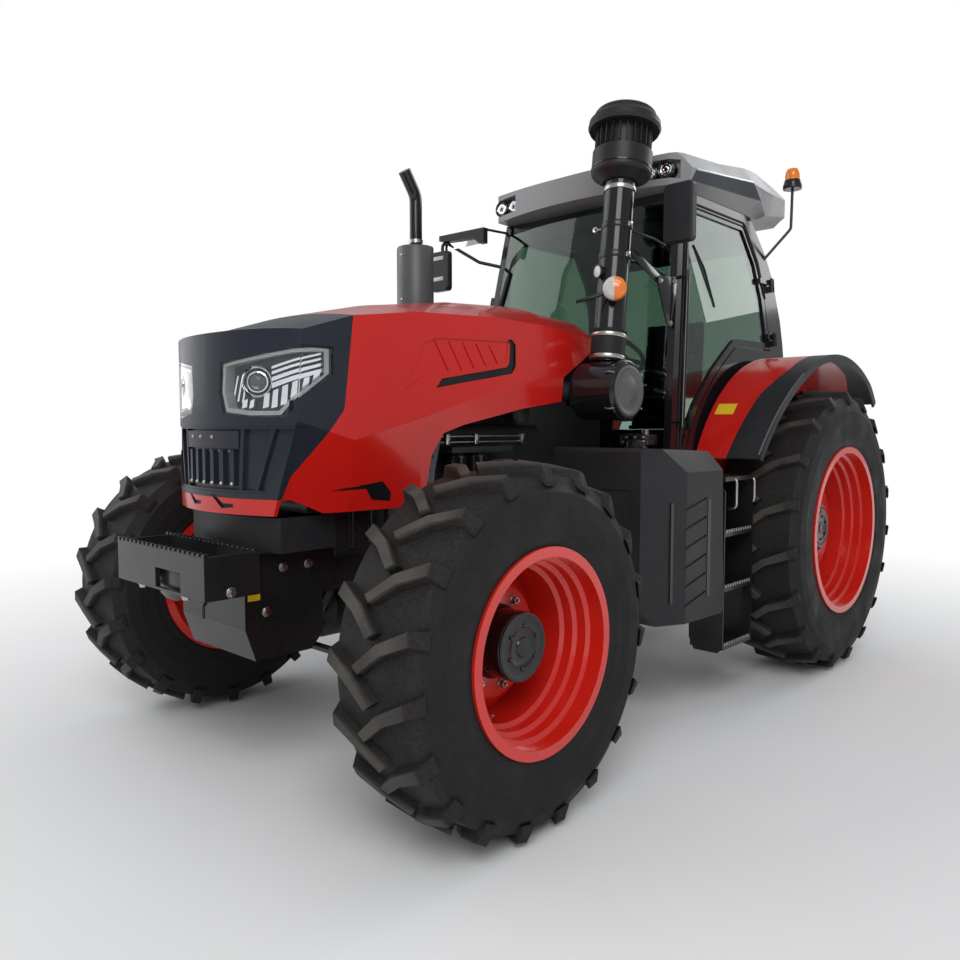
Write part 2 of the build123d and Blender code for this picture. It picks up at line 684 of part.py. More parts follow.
# ---------------------------------------------------------------- cowl behind the hood
cowl_y = (-75, -40)
cowl_half_width = 380
cowl_shoulder_z = hood_hinge_z - 150
cowl_top_z = hood_hinge_z - 40
cowl_lug_z = hood_hinge_z - 190
with BuildPart() as cowl:
    with BuildSketch(Plane.XZ.offset(-cowl_y[1])):
        with BuildLine():
            Polyline((-cowl_half_width, cowl_shoulder_z), (-cowl_half_width, cab_floor_z[0]),
                     (cowl_half_width, cab_floor_z[0]), (cowl_half_width, cowl_shoulder_z))
            ThreePointArc((cowl_half_width, cowl_shoulder_z), (0, cowl_top_z),
                          (-cowl_half_width, cowl_shoulder_z))
        make_face()
    extrude(amount=cowl_y[1] - cowl_y[0])
    with BuildSketch(Plane.XY.offset(cab_floor_z[0])):
        with Locations((0, (cowl_y[0] + cab_front_y) / 2)):
            Rectangle(2 * cowl_half_width, cab_front_y - cowl_y[0])
    extrude(amount=cab_floor_z[1] - cab_floor_z[0])
    for end in (-1, 1):
        lug_x = end * (hood_eye_x - hood_eye_width / 2 - 6)
        with BuildSketch(Plane.YZ.offset(lug_x)):
            with BuildLine():
                Polyline((cowl_y[0], cowl_lug_z), (hood_hinge_y - 20, hood_hinge_z - 16),
                         (hood_hinge_y - 20, hood_hinge_z + 14), (hood_hinge_y + 20, hood_hinge_z + 14),
                         (cowl_y[1] - 5, cowl_lug_z + 90), (cowl_y[1] - 5, cowl_lug_z), close=True)
            make_face()
        extrude(amount=-end * 20)
        with BuildSketch(Plane.YZ.offset(lug_x)):
            with Locations((hood_hinge_y, hood_hinge_z)):
                Circle(hood_pin_radius)
        extrude(amount=end * (hood_eye_width + 8))
save(cowl, "cowl")

# ---------------------------------------------------------------- cab
with BuildPart() as platform:
    with BuildSketch(Plane.XY.offset(cab_floor_z[0])):
        with Locations((0, (cab_front_y + cab_rear_y) / 2)):
            Rectangle(2 * (cab_base_half_width - 10), cab_rear_y - cab_front_y)
    extrude(amount=cab_floor_z[1] - cab_floor_z[0])
    for mount_y, mount_base in ((200, gearbox_z[1]), (1400, axle_case_z[1])):
        for mount_x in (-130, 130):
            with BuildSketch(Plane.XY.offset(mount_base)):
                with Locations((mount_x, mount_y)):
                    Circle(45)
            extrude(amount=cab_floor_z[0] - mount_base)
    with BuildSketch(Plane.YZ.offset(-420)):
        with BuildLine():
            Polyline((960, cab_floor_z[1]), (1000, seat_base_z), (cab_rear_y - 60, seat_base_z),
                     (cab_rear_y - 60, cab_floor_z[1]), close=True)
        make_face()
    extrude(amount=840)
save(platform, "cab_platform")

with BuildPart() as cab_frame:
    for side in (1, -1):
        with BuildSketch(side_plane(side)):
            with BuildLine():
                Polyline(*on_slope(SIDE_OUTLINE, side), close=True)
            make_face()
            with BuildLine():
                Polyline(*on_slope(DOOR_OUTLINE, side), close=True)
            make_face(mode=Mode.SUBTRACT)
        extrude(amount=-cab_wall)
        for hinge_z in DOOR_HINGES:
            foot = hinge_point(side, hinge_z - 62)
            with BuildSketch(Plane(origin=foot, x_dir=(0, 1, 0), z_dir=slope_dir(side))):
                Circle(hinge_boss_radius)
                with Locations((0, side * door_hinge_out / 2)):
                    Rectangle(2 * hinge_boss_radius, door_hinge_out)
            extrude(amount=38)
            with BuildSketch(Plane(origin=foot, x_dir=(0, 1, 0), z_dir=slope_dir(side))):
                Circle(hinge_pin_radius)
            extrude(amount=92)
        # Grab rail on two stand-offs, ahead of the door
        low, high = DOOR_OUTLINE[:2]
        rail = []
        for height in rail_z:
            edge_y = low[0] + (high[0] - low[0]) * (height - low[1]) / (high[1] - low[1])
            rail.append(Vector(side * (side_outer_x(height) + rail_out), edge_y - rail_ahead, height))
        rail_run = rail[1] - rail[0]
        with BuildSketch(Plane(origin=rail[0] - rail_run * 0.04, z_dir=rail_run)):
            Circle(rail_radius)
        extrude(amount=rail_run.length * 1.08)
        for foot in rail:
            with BuildSketch(Plane(origin=foot, z_dir=(-side, 0, 0))):
                Circle(rail_radius - 3)
            extrude(amount=rail_out + 10)
    top_half = cab_base_half_width - (roof_z - cab_base_z) * sin(radians(cab_tilt)) - cab_wall + 8
    for bar_y, bar_z in ((370, roof_z - 35), (1200, roof_z - 35)):
        with Locations((0, bar_y, bar_z)):
            Box(2 * top_half, 60, 68)
    for bar_y, bar_z, bar_h in ((1612, 1730, 60), (90, 1290, 110), (1612, 1290, 110)):
        half = cab_base_half_width - (bar_z - cab_base_z) * sin(radians(cab_tilt)) - cab_wall + 8
        with Locations((0, bar_y, bar_z)):
            Box(2 * half, 44, bar_h)
save(cab_frame, "cab_frame")

for side_name, side in SIDES:
    flip = 1 if side > 0 else -1
    with BuildPart() as door_frame:
        with BuildSketch(side_plane(side)):
            with BuildLine():
                Polyline(*on_slope(DOOR_OUTLINE, side), close=True)
            make_face()
            offset(amount=-door_gap, mode=Mode.REPLACE)
            offset(amount=-door_frame_width, mode=Mode.SUBTRACT)
        extrude(amount=-door_thick)
        for hinge_z in DOOR_HINGES:
            edge_y = 1395 if hinge_z < 2200 else 1322
            for out, rear_y, thick in ((0, edge_y, strap_gap), (strap_gap, door_hinge_y, strap_thick)):
                strap = ((edge_y - 34, hinge_z - 16), (rear_y, hinge_z - 16),
                         (rear_y, hinge_z + 16), (edge_y - 34, hinge_z + 16))
                with BuildSketch(side_plane(side, out)):
                    with BuildLine():
                        Polyline(*on_slope(strap, side), close=True)
                    make_face()
                extrude(amount=thick)
            with BuildSketch(Plane(origin=hinge_point(side, hinge_z - 20), x_dir=(0, 1, 0),
                                   z_dir=slope_dir(side))):
                Circle(hinge_boss_radius)
            extrude(amount=40)
            with BuildSketch(Plane(origin=hinge_point(side, hinge_z - 30), x_dir=(0, 1, 0),
                                   z_dir=slope_dir(side))):
                Circle(hinge_pin_radius + pin_fit)
            extrude(amount=60, mode=Mode.SUBTRACT)
    save(door_frame, f"door_frame_{side_name}")
    with BuildPart() as door_glass:
        with BuildSketch(side_plane(side, -door_thick / 2 + glass / 2)):
            with BuildLine():
                Polyline(*on_slope(DOOR_OUTLINE, side), close=True)
            make_face()
            offset(amount=-door_gap - door_frame_width, mode=Mode.REPLACE)
        extrude(amount=-glass)
    save(door_glass, f"door_glass_{side_name}")

with BuildPart() as roof:
    for y, under, edge, belt, inset, shoulder, centre in ROOF_SECTIONS:
        half = roof_half_width
        with BuildSketch(Plane.XZ.offset(-y)):
            with BuildLine():
                Polyline((-half + inset, roof_z + shoulder), (-half, roof_z + belt),
                         (-half + 8, roof_z + edge), (-half + 82, roof_z + under),
                         (half - 82, roof_z + under), (half - 8, roof_z + edge),
                         (half, roof_z + belt), (half - inset, roof_z + shoulder))
                ThreePointArc((half - inset, roof_z + shoulder), (0, roof_z + centre),
                              (-half + inset, roof_z + shoulder))
            make_face()
    loft(ruled=True)
    corner_x = roof_half_width - 82
    with BuildSketch(Plane.XY.offset(roof_z - 10)):
        with BuildLine():
            ThreePointArc((-corner_x, roof_corner_y), (0, roof_front_y), (corner_x, roof_corner_y))
            Polyline((corner_x, roof_corner_y), (roof_half_width, roof_corner_y + 110),
                     (roof_half_width, roof_rear_y - 150), (roof_half_width - 70, roof_rear_y - 8),
                     (-roof_half_width + 70, roof_rear_y - 8), (-roof_half_width, roof_rear_y - 150),
                     (-roof_half_width, roof_corner_y + 110), (-corner_x, roof_corner_y))
        make_face()
    extrude(amount=400, mode=Mode.INTERSECT)
    for side in (1, -1):
        with BuildSketch(Plane.XZ.offset(-lamp_pocket_y)):
            with Locations((side * sum(lamp_x) / 2, lamp_z)):
                Rectangle(lamp_x[1] - lamp_x[0] + 130, 2 * lamp_radius + 18)
        extrude(amount=400, mode=Mode.SUBTRACT)
save(roof, "cab_roof")

rear_lamp_x = cab_base_half_width - 31
rear_lamp = (70, 35.6, 150)
with BuildPart() as lamps:
    for side in (1, -1):
        with BuildSketch(Plane.XZ.offset(-lamp_pocket_y)):
            with Locations(*[(side * x, lamp_z) for x in lamp_x]):
                Circle(lamp_radius)
        extrude(amount=66)
        with Locations((side * rear_lamp_x, cab_rear_y + rear_lamp[1] / 2 + 0.2, 1500)):
            Box(*rear_lamp)
save(lamps, "lamps")

WINDSHIELD = ((1345.3, 70), (roof_z - 72, 318))  # height and y at the corners
with BuildPart() as windshield:
    for height, front_y in WINDSHIELD:
        half = side_inner_x(height) - glass_gap
        with BuildSketch(Plane.XY.offset(height)):
            with BuildLine():
                ThreePointArc((-half, front_y), (0, front_y - 100), (half, front_y))
                Line((half, front_y), (half, front_y + glass))
                ThreePointArc((half, front_y + glass), (0, front_y + glass - 100), (-half, front_y + glass))
                Line((-half, front_y + glass), (-half, front_y))
            make_face()
    loft(ruled=True)

# Bowed rear window from the side: y, z, up its inside and down its outside
REAR_WINDOW = ((1622, 1762), (1606, 2040), (1500, 2460), (1232, 2790),
               (1238, 2794), (1506, 2463), (1612, 2042), (1628, 1762))
rear_window_y = (1200, 1800)  # covers the window from front to rear
with BuildPart() as rear_window:
    with BuildSketch(Plane.YZ.offset(-cab_base_half_width)):
        with BuildLine():
            Polyline(*REAR_WINDOW, close=True)
        make_face()
    extrude(amount=2 * cab_base_half_width)
    with BuildSketch(Plane.XZ.offset(-rear_window_y[0])):
        with BuildLine():
            low, high = [side_inner_x(z) - glass_gap for z in rear_window_z]
            Polyline((-low, rear_window_z[0]), (low, rear_window_z[0]), (high, rear_window_z[1]),
                     (-high, rear_window_z[1]), close=True)
        make_face()
    extrude(amount=rear_window_y[0] - rear_window_y[1], mode=Mode.INTERSECT)
with BuildPart() as cab_windows:
    add(windshield.part)
    add(rear_window.part)
save(cab_windows, "cab_windows")

# ---------------------------------------------------------------- fenders


def fender_point(radius, angle):
    """Point (y, z) on the fender's arc, angle in degrees above the forward horizontal."""
    return (rear_axle_y - radius * cos(radians(angle)), fender_z + radius * sin(radians(angle)))


def fender_band(outer, inner, start, end):
    """Arched band of the fender as a flat sketch of (y, z)."""
    middle = (start + end) / 2
    with BuildSketch() as band:
        with BuildLine():
            ThreePointArc(fender_point(outer, start), fender_point(outer, middle),
                          fender_point(outer, end))
            Line(fender_point(outer, end), fender_point(inner, end))
            ThreePointArc(fender_point(inner, end), fender_point(inner, middle),
                          fender_point(inner, start))
            Line(fender_point(inner, start), fender_point(outer, start))
        make_face()
    return band.sketch


# Edges of the red panel and of the black lip seen from the front: x, z
RED_EDGE = ((fender_inner_x + 165, 1200), (fender_inner_x + 250, 1676), (fender_inner_x + 320, 1830),
            (fender_inner_x + 320, 2000))
LIP_EDGE = ((fender_inner_x + 370, 1200), (fender_inner_x + 410, 1560), (fender_inner_x + 435, 1770),
            (fender_inner_x + 435, 2000))
LIP_INSIDE = [(x - sheet, z) for x, z in LIP_EDGE]
fender_inner_radius = fender_radius - sheet
lip_radius = fender_radius - 40
panels = []
lips = []
for side in (1, -1):
    inner = side * fender_inner_x
    with BuildPart() as fender:
        with BuildSketch(Plane.YZ.offset(inner)):
            add(fender_band(fender_radius, fender_inner_radius, fender_start, fender_end))
        extrude(amount=side * 400)
        with BuildSketch(Plane.XZ.offset(-2200)):
            with BuildLine():
                Polyline((inner, 1200), *[(side * x, z) for x, z in RED_EDGE], (inner, 2000), close=True)
            make_face()
        extrude(amount=2100, mode=Mode.INTERSECT)
        with BuildSketch(Plane.YZ.offset(inner)):
            with BuildLine():
                start = fender_point(fender_inner_radius, fender_start)
                end = fender_point(fender_inner_radius, fender_end)
                ThreePointArc(start, fender_point(fender_inner_radius, 78), end)
                Polyline(end, (rear_axle_y + 300, rear_radius + trumpet_radius),
                         (rear_axle_y - 300, rear_radius + trumpet_radius), start)
            make_face()
        extrude(amount=side * sheet)
    panels.append(fender.part)
    with BuildPart() as flare:
        for inner_radius, inside_edge in ((fender_inner_radius, RED_EDGE), (lip_radius, LIP_INSIDE)):
            with BuildPart(mode=Mode.PRIVATE) as strip:
                with BuildSketch(Plane.YZ.offset(inner)):
                    add(fender_band(fender_radius, inner_radius, fender_start, fender_end))
                extrude(amount=side * 500)
                with BuildSketch(Plane.XZ.offset(-2200)):
                    with BuildLine():
                        Polyline(*[(side * x, z) for x, z in inside_edge],
                                 *[(side * x, z) for x, z in reversed(LIP_EDGE)], close=True)
                    make_face()
                extrude(amount=2100, mode=Mode.INTERSECT)
            add(strip.part)
    lips.append(flare.part)

for name, pieces in (("fenders", panels), ("fender_flares", lips)):
    with BuildPart() as pair:
        add(pieces)
    save(pair, name)

# ---------------------------------------------------------------- tank, side box and steps
groove_rows = 6
groove_top_z = 1098
groove_pitch = 94
groove_depth = 7
tank_x = (490, cab_base_half_width + 343)
TANK_SIDE = ((-600, 620), (-520, 540), (40, 530), (10, 1272), (-60, 1368), (-600, 1392))
box_x = (-1060, -520)
BOX_SIDE = ((-560, 700), (20, 700), (20, 1300), (-560, 1300))
tank_edge_radius = 24
TANK_STRAPS = (-330, -90)
strap_z = 820
for name, across, outline in (("fuel_tank", tank_x, TANK_SIDE), ("side_box", box_x, BOX_SIDE)):
    side = 1 if across[0] > 0 else -1
    inside = min(abs(across[0]), abs(across[1]))
    outside = max(abs(across[0]), abs(across[1]))
    front, rear = outline[0][0], outline[2][0]
    top = max(z for y, z in outline)
    with BuildPart() as tank:
        with BuildSketch(Plane.YZ.offset(across[0])):
            with BuildLine():
                Polyline(*outline, close=True)
            make_face()
        extrude(amount=across[1] - across[0])
        fillet(tank.edges().filter_by(Axis.X), tank_edge_radius)
        # Slanted front outer corner and slanted outer top
        with BuildSketch(Plane.XY.offset(outline[1][1] - 100)):
            with BuildLine():
                Polyline((side * (outside + 1), front + 250), (side * (outside + 1), front - 1),
                         (side * (outside - 105), front - 1), close=True)
            make_face()
        extrude(amount=top, mode=Mode.SUBTRACT)
        with BuildSketch(Plane.XZ.offset(-rear - 60)):
            with BuildLine():
                Polyline((side * (outside + 1), top - 122), (side * (outside + 1), top + 1),
                         (side * (outside - 62), top + 1), close=True)
            make_face()
        extrude(amount=rear - front + 100, mode=Mode.SUBTRACT)
        # Pressed grooves on the outer side, one below the other
        for row in range(groove_rows if side > 0 else 0):
            groove_z = groove_top_z - row * groove_pitch
            with BuildSketch(Plane.YZ.offset(outside + 1)):
                with BuildLine():
                    Polyline((front + 238, groove_z - 10), (front + 246, groove_z + 12),
                             (front + 436, groove_z + 46), (front + 450, groove_z + 38), close=True)
                make_face()
            extrude(amount=-groove_depth - 1, mode=Mode.SUBTRACT)
        # Pressed panels on the front
        for panel_x in (inside + 130, inside + 370):
            with BuildSketch(Plane.XZ.offset(-front)):
                with Locations((side * panel_x, (top + outline[1][1]) / 2 - 30)):
                    Rectangle(170, (top - outline[1][1]) * 0.6)
            extrude(amount=-groove_depth, mode=Mode.SUBTRACT)
        for strap_y in TANK_STRAPS:
            with BuildSketch(Plane.YZ.offset(side * gearbox_half_width)):
                with Locations((strap_y, strap_z)):
                    Rectangle(60, 90)
            extrude(amount=side * (inside - gearbox_half_width + 2))
    save(tank, name)

deck_edge = tank_x[1] - 10
deck_z = cab_floor_z[1]
step_tyre_gap = 38
step_y = (60, rear_axle_y - rear_radius - step_tyre_gap)
step_foot_z = 300
step_depth = 190
STEP_HEIGHTS = (330, 640, 930)
# Cheek of the steps: how far in from the deck's edge, z
STEP_CHEEK = ((215, deck_z - 15), (60, deck_z - 15), (0, deck_z - 75), (0, step_foot_z + 30),
              (30, step_foot_z), (165, step_foot_z), (195, step_foot_z + 60))
with BuildPart() as steps:
    for side in (1, -1):
        with BuildSketch(Plane.XY.offset(deck_z - 22)):
            with Locations((side * (deck_edge + cab_base_half_width - 10) / 2, sum(step_y) / 2)):
                Rectangle(deck_edge - cab_base_half_width + 10, step_y[1] - step_y[0])
        extrude(amount=22)
        for cheek_y in (step_y[0] + 8, step_y[1]):
            with BuildSketch(Plane.XZ.offset(-cheek_y)):
                with BuildLine():
                    Polyline(*[(side * (deck_edge - inwards), z) for inwards, z in STEP_CHEEK], close=True)
                make_face()
            extrude(amount=8)
        for height in STEP_HEIGHTS:
            with Locations((side * (deck_edge - step_depth / 2), sum(step_y) / 2, height)):
                Box(step_depth, step_y[1] - step_y[0] - 8, 24)
            with Locations((side * (deck_edge - step_depth / 2), sum(step_y) / 2, height + 12)):
                Box(step_depth - 24, step_y[1] - step_y[0] - 40, 28, mode=Mode.SUBTRACT)
save(steps, "steps")

# ---------------------------------------------------------------- air intake
filter_y = -320
filter_z = 1674
filter_radius = 150
filter_x = (470, 749)
stack_radius = 80
stack_foot = (600, -300, filter_z + filter_radius)
stack_head = (571, -150, 2775)
with BuildPart() as air_filter:
    with BuildSketch(Plane.YZ.offset(filter_x[0])):
        with Locations((filter_y, filter_z)):
            Circle(filter_radius)
    extrude(amount=filter_x[1] - filter_x[0])
    chamfer(air_filter.edges().filter_by(GeomType.CIRCLE), 14)
    with BuildSketch(Plane.XY.offset(filter_z)):
        with Locations(stack_foot[:2]):
            Circle(stack_radius + 8)
    extrude(amount=filter_radius)
    with Locations((filter_x[0] - 55, (filter_y + cowl_y[0]) / 2, filter_z - 40)):
        Box(130, cowl_y[0] - filter_y, 60)
save(air_filter, "air_filter")

stack_line = Vector(*stack_head) - Vector(*stack_foot)
stack_plane = Plane(origin=stack_foot, x_dir=(1, 0, 0), z_dir=stack_line)
with BuildPart() as stack:
    with BuildSketch(stack_plane):
        Circle(stack_radius)
    extrude(amount=stack_line.length)
    with BuildSketch(Plane.XY.offset(stack_foot[2] - 60)):
        with Locations(stack_foot[:2]):
            Rectangle(400, 400)
    extrude(amount=60, mode=Mode.SUBTRACT)
save(stack, "intake_stack")

# Half profile of the pre-cleaner: radius, height above the top of the stack
CLEANER = ((0, 0), (94, 0), (150, 36), (158, 46), (158, 160), (126, 168), (126, 288), (184, 280),
           (192, 296), (188, 326), (144, 384), (76, 416), (0, 424))
with BuildPart() as cleaner:
    with BuildSketch(Plane(origin=stack_head, x_dir=stack_plane.x_dir, z_dir=stack_plane.y_dir)):
        with BuildLine():
            Polyline(*[(r, -h) for r, h in CLEANER], close=True)
        make_face()
    revolve(axis=Axis(stack_head, stack_line))
save(cleaner, "pre_cleaner")

# ---------------------------------------------------------------- exhaust
muffler_x = -650
muffler_y = -500
muffler_radius = 88
muffler_z = (1640, 2560)
pipe_radius = 37
pipe_top_z = 2870
with BuildPart() as muffler:
    with BuildSketch(Plane.XZ.offset(-muffler_y)):
        with BuildLine():
            Polyline((muffler_x, muffler_z[0]), (muffler_x + 42, muffler_z[0]),
                     (muffler_x + muffler_radius, muffler_z[0] + 50),
                     (muffler_x + muffler_radius, muffler_z[1] - 50), (muffler_x + 42, muffler_z[1]),
                     (muffler_x, muffler_z[1]), close=True)
        make_face()
    revolve(axis=Axis((muffler_x, muffler_y, 0), (0, 0, 1)))
    with BuildLine():
        elbow = FilletPolyline((-engine_half_width, muffler_y, 1440), (muffler_x, muffler_y, 1440),
                               (muffler_x, muffler_y, muffler_z[0] + 10), radius=90)
    with BuildSketch(Plane(origin=(-engine_half_width, muffler_y, 1440), z_dir=(-1, 0, 0))):
        Circle(42)
    sweep(path=elbow)
save(muffler, "muffler")

with BuildPart() as pipe:
    with BuildLine():
        tail = FilletPolyline((muffler_x, muffler_y, muffler_z[1]), (muffler_x, muffler_y, pipe_top_z),
                              (muffler_x, muffler_y - 90, pipe_top_z + 130), radius=120)
    with BuildSketch(Plane(origin=(muffler_x, muffler_y, muffler_z[1]), z_dir=(0, 0, 1))):
        Circle(pipe_radius)
    sweep(path=tail)
save(pipe, "exhaust_pipe")

# ---------------------------------------------------------------- mirrors and beacon
# side, head middle, head size, arm from the pillar to the head; x is measured outwards from the
# cab's side at mirror_z
mirror_z = 2720
mirror_arm_radius = 11
MIRRORS = (
    (1, (161, 30, 2615), (172, 46, 310), ((-6, 322, 2720), (79, 150, 2740), (147, 48, 2740))),
    (-1, (425, 130, 2565), (172, 46, 270), ((-6, 300, 2560), (130, 205, 2600), (425, 146, 2780),
                                            (425, 146, 2680))),
)
# Long folded mirror carried by the right arm: outwards, z
WIDE_MIRROR = ((10, 2800), (430, 2806), (430, 2770), (300, 2756), (110, 2748), (50, 2700), (10, 2700))
wide_mirror_y = (118, 158)
with BuildPart() as mirrors:
    pillar_x = side_outer_x(mirror_z)
    for side, (head_out, head_y, head_z), size, arm in MIRRORS:
        with BuildPart(mode=Mode.PRIVATE) as head:
            Box(*size)
            fillet(head.edges().filter_by(Axis.Y), 26)
            chamfer(head.faces().sort_by(Axis.Y)[0].edges(), 9)
        with Locations((side * (pillar_x + head_out), head_y, head_z)):
            add(head.part)
        points = [(side * (pillar_x + out), y, z) for out, y, z in arm]
        with BuildLine():
            rod = FilletPolyline(*points, radius=28)
        with BuildSketch(Plane(origin=points[0], z_dir=Vector(*points[1]) - Vector(*points[0]))):
            Circle(mirror_arm_radius)
        sweep(path=rod)
    with BuildSketch(Plane.XZ.offset(-wide_mirror_y[1])):
        with BuildLine():
            Polyline(*[(-pillar_x - out, z) for out, z in WIDE_MIRROR], close=True)
        make_face()
    extrude(amount=wide_mirror_y[1] - wide_mirror_y[0])
    with BuildLine():
        stay = Line((-pillar_x - 14, 140, 2790), (-pillar_x + 14, 330, 2790))
    with BuildSketch(Plane(origin=stay @ 0, z_dir=stay % 0)):
        Circle(mirror_arm_radius - 3)
    sweep(path=stay)
    add(cab_frame.part, mode=Mode.SUBTRACT)
save(mirrors, "mirrors")

beacon_foot = (side_outer_x(2590) - 6, 1400, 2590)
beacon_x = side_outer_x(2790) + 145
beacon_y = 1515
beacon_base_z = roof_z + 210
# Half profile of the base and lens: radius, height
BEACON = ((0, 0), (58, 0), (60, 8), (60, 24), (46, 26), (42, 112), (32, 128), (0, 132))
with BuildPart() as beacon:
    with BuildLine():
        mast = FilletPolyline(beacon_foot, (beacon_x, beacon_y - 10, 2790),
                              (beacon_x, beacon_y, beacon_base_z + 1), radius=50)
    with BuildSketch(Plane(origin=beacon_foot, z_dir=mast % 0)):
        Circle(9)
    sweep(path=mast)
    with BuildSketch(Plane(origin=(beacon_x, beacon_y, beacon_base_z), x_dir=(1, 0, 0), z_dir=(0, -1, 0))):
        with BuildLine():
            Polyline(*BEACON, close=True)
        make_face()
    revolve(axis=Axis((beacon_x, beacon_y, 0), (0, 0, 1)))
    add(cab_frame.part, mode=Mode.SUBTRACT)
save(beacon, "beacon")

# ---------------------------------------------------------------- inside the cab
seat_width = 500
seat_under_z = 1720
# Seat and backrest from the side: y, z
SEAT = ((960, 1700), (950, 1790), (1330, 1770), (1400, 2260), (1470, 2260), (1430, 1720), (1390, 1690))
with BuildPart() as seat:
    with BuildSketch(Plane.YZ.offset(-seat_width / 2)):
        with BuildLine():
            Polyline(*SEAT, close=True)
        make_face()
    extrude(amount=seat_width)
    with Locations((0, 1200, (seat_base_z + seat_under_z) / 2)):
        Box(340, 300, seat_under_z - seat_base_z)
save(seat, "driver_seat")

console_width = 300
with BuildPart() as console:
    with BuildSketch(Plane.YZ.offset(-console_width / 2)):
        with BuildLine():
            Polyline((190, cab_floor_z[1]), (400, cab_floor_z[1]), (440, 1620), (560, 1800),
                     (480, 1880), (330, 1760), (230, 1640), close=True)
        make_face()
    extrude(amount=console_width)
save(console, "dash_console")

wheel_middle = (0, 640, 1960)
wheel_tilt = Vector(0, -0.55, -0.835)
steering_radius = 205
with BuildPart() as steering:
    with BuildSketch(Plane(origin=wheel_middle, x_dir=(1, 0, 0), z_dir=wheel_tilt)):
        Circle(45)
        with PolarLocations(115, 3, 90):
            Rectangle(166, 36)
    extrude(amount=14)
    with BuildSketch(Plane(origin=wheel_middle, x_dir=(1, 0, 0), z_dir=wheel_tilt.cross(Vector(1, 0, 0)))):
        with Locations((steering_radius, 0)):
            RegularPolygon(15, 8)
    revolve(axis=Axis(wheel_middle, wheel_tilt))
    with BuildSketch(Plane(origin=wheel_middle, x_dir=(1, 0, 0), z_dir=wheel_tilt)):
        Circle(30)
    extrude(amount=166.8)
save(steering, "steering_wheel")

# ---------------------------------------------------------------- rear hitch
link_pivot = (1620, 560)
link_spread = (300, 412)  # at the pivots and at the ball ends
link_length = 780
attach_length = 400
lift_pivot = (1720, 1085)
half_bar = 12
ball_bore = 14.35
hitch_rear_y = 1758
top_link = (1812, 960)  # y and z of its pin
top_link_radius = 12.8
shaft_z = 700
shaft_radius = 17.4
shaft_reach = 102
rod_x = 400
rod_radius = 17
eye_radius = 34
with BuildPart() as hitch_case:
    with Locations((0, (axle_case_y[1] + hitch_rear_y + 2) / 2, 860)):
        Box(400, hitch_rear_y + 2 - axle_case_y[1], 560)
    for end in (-1, 1):
        with BuildSketch(Plane.YZ.offset(end * 200)):
            with Locations(lift_pivot):
                Circle(36)
        extrude(amount=end * 132)
        with BuildSketch(Plane.YZ.offset(end * 200)):
            with Locations(link_pivot):
                Circle(20)
        extrude(amount=end * 132)
        with Locations((end * 155, link_pivot[0], link_pivot[1] + 15)):
            Box(90, 90, 90)
        with BuildSketch(Plane.YZ.offset(end * 28)):
            with BuildLine():
                Polyline((hitch_rear_y, top_link[1] - 60), (hitch_rear_y, top_link[1] + 50),
                         (top_link[0] + 28, top_link[1] + 30), (top_link[0] + 28, top_link[1] - 30),
                         close=True)
            make_face()
            with Locations(top_link):
                Circle(top_link_radius, mode=Mode.SUBTRACT)
        extrude(amount=end * 16)
    with BuildSketch(Plane.XZ.offset(-hitch_rear_y)):
        with Locations((0, shaft_z)):
            Circle(shaft_radius)
    extrude(amount=-shaft_reach)
save(hitch_case, "hitch_housing")

with BuildPart() as links:
    for end in (-1, 1):
        with BuildSketch(Plane.XY.offset(link_pivot[1] - 30)):
            with BuildLine():
                Polyline((end * (link_spread[0] - half_bar), link_pivot[0] - 40),
                         (end * (link_spread[0] + half_bar), link_pivot[0] - 40),
                         (end * (link_spread[0] + half_bar), link_pivot[0] + 60),
                         (end * (link_spread[1] + half_bar), link_pivot[0] + link_length - 60),
                         (end * (link_spread[1] + half_bar), link_pivot[0] + link_length + 46),
                         (end * (link_spread[1] - half_bar), link_pivot[0] + link_length + 46),
                         (end * (link_spread[1] - half_bar), link_pivot[0] + link_length - 60),
                         (end * (link_spread[0] - half_bar), link_pivot[0] + 60), close=True)
            make_face()
        extrude(amount=60)
        with BuildSketch(Plane.YZ.offset(end * (link_spread[1] - 22))):
            with Locations((link_pivot[0] + link_length, link_pivot[1])):
                Circle(44)
        extrude(amount=end * 44)
        with BuildSketch(Plane.YZ.offset(end * (link_spread[1] - 22))):
            with Locations((link_pivot[0] + link_length, link_pivot[1])):
                Circle(ball_bore)
        extrude(amount=end * 44, mode=Mode.SUBTRACT)
        with BuildSketch(Plane.YZ.offset(end * (link_spread[0] - 40))):
            with Locations(link_pivot):
                Circle(20 + pin_fit)
        extrude(amount=end * 80, mode=Mode.SUBTRACT)
        with BuildSketch(Plane.YZ.offset(end * (link_spread[0] + 50))):
            with Locations((link_pivot[0] + attach_length, link_pivot[1])):
                Circle(13)
        extrude(amount=end * (rod_x + 20 - link_spread[0] - 50))
save(links, "lower_links")

with BuildPart() as lift_arms:
    for end in (-1, 1):
        with BuildSketch(Plane.YZ.offset(end * 322)):
            with BuildLine():
                Polyline((lift_pivot[0] - 30, lift_pivot[1] - 50),
                         (lift_pivot[0] + attach_length, lift_pivot[1] - 34),
                         (lift_pivot[0] + attach_length, lift_pivot[1] + 34),
                         (lift_pivot[0] - 30, lift_pivot[1] + 50), close=True)
            make_face()
            with Locations(lift_pivot):
                Circle(58)
            with Locations((lift_pivot[0] + attach_length, lift_pivot[1])):
                Circle(34)
        extrude(amount=end * 36)
        with BuildSketch(Plane.YZ.offset(end * 318)):
            with Locations(lift_pivot):
                Circle(36 + pin_fit)
        extrude(amount=end * 50, mode=Mode.SUBTRACT)
        with BuildSketch(Plane.YZ.offset(end * 357)):
            with Locations((lift_pivot[0] + attach_length, lift_pivot[1])):
                Circle(13)
        extrude(amount=end * (rod_x + 20 - 357))
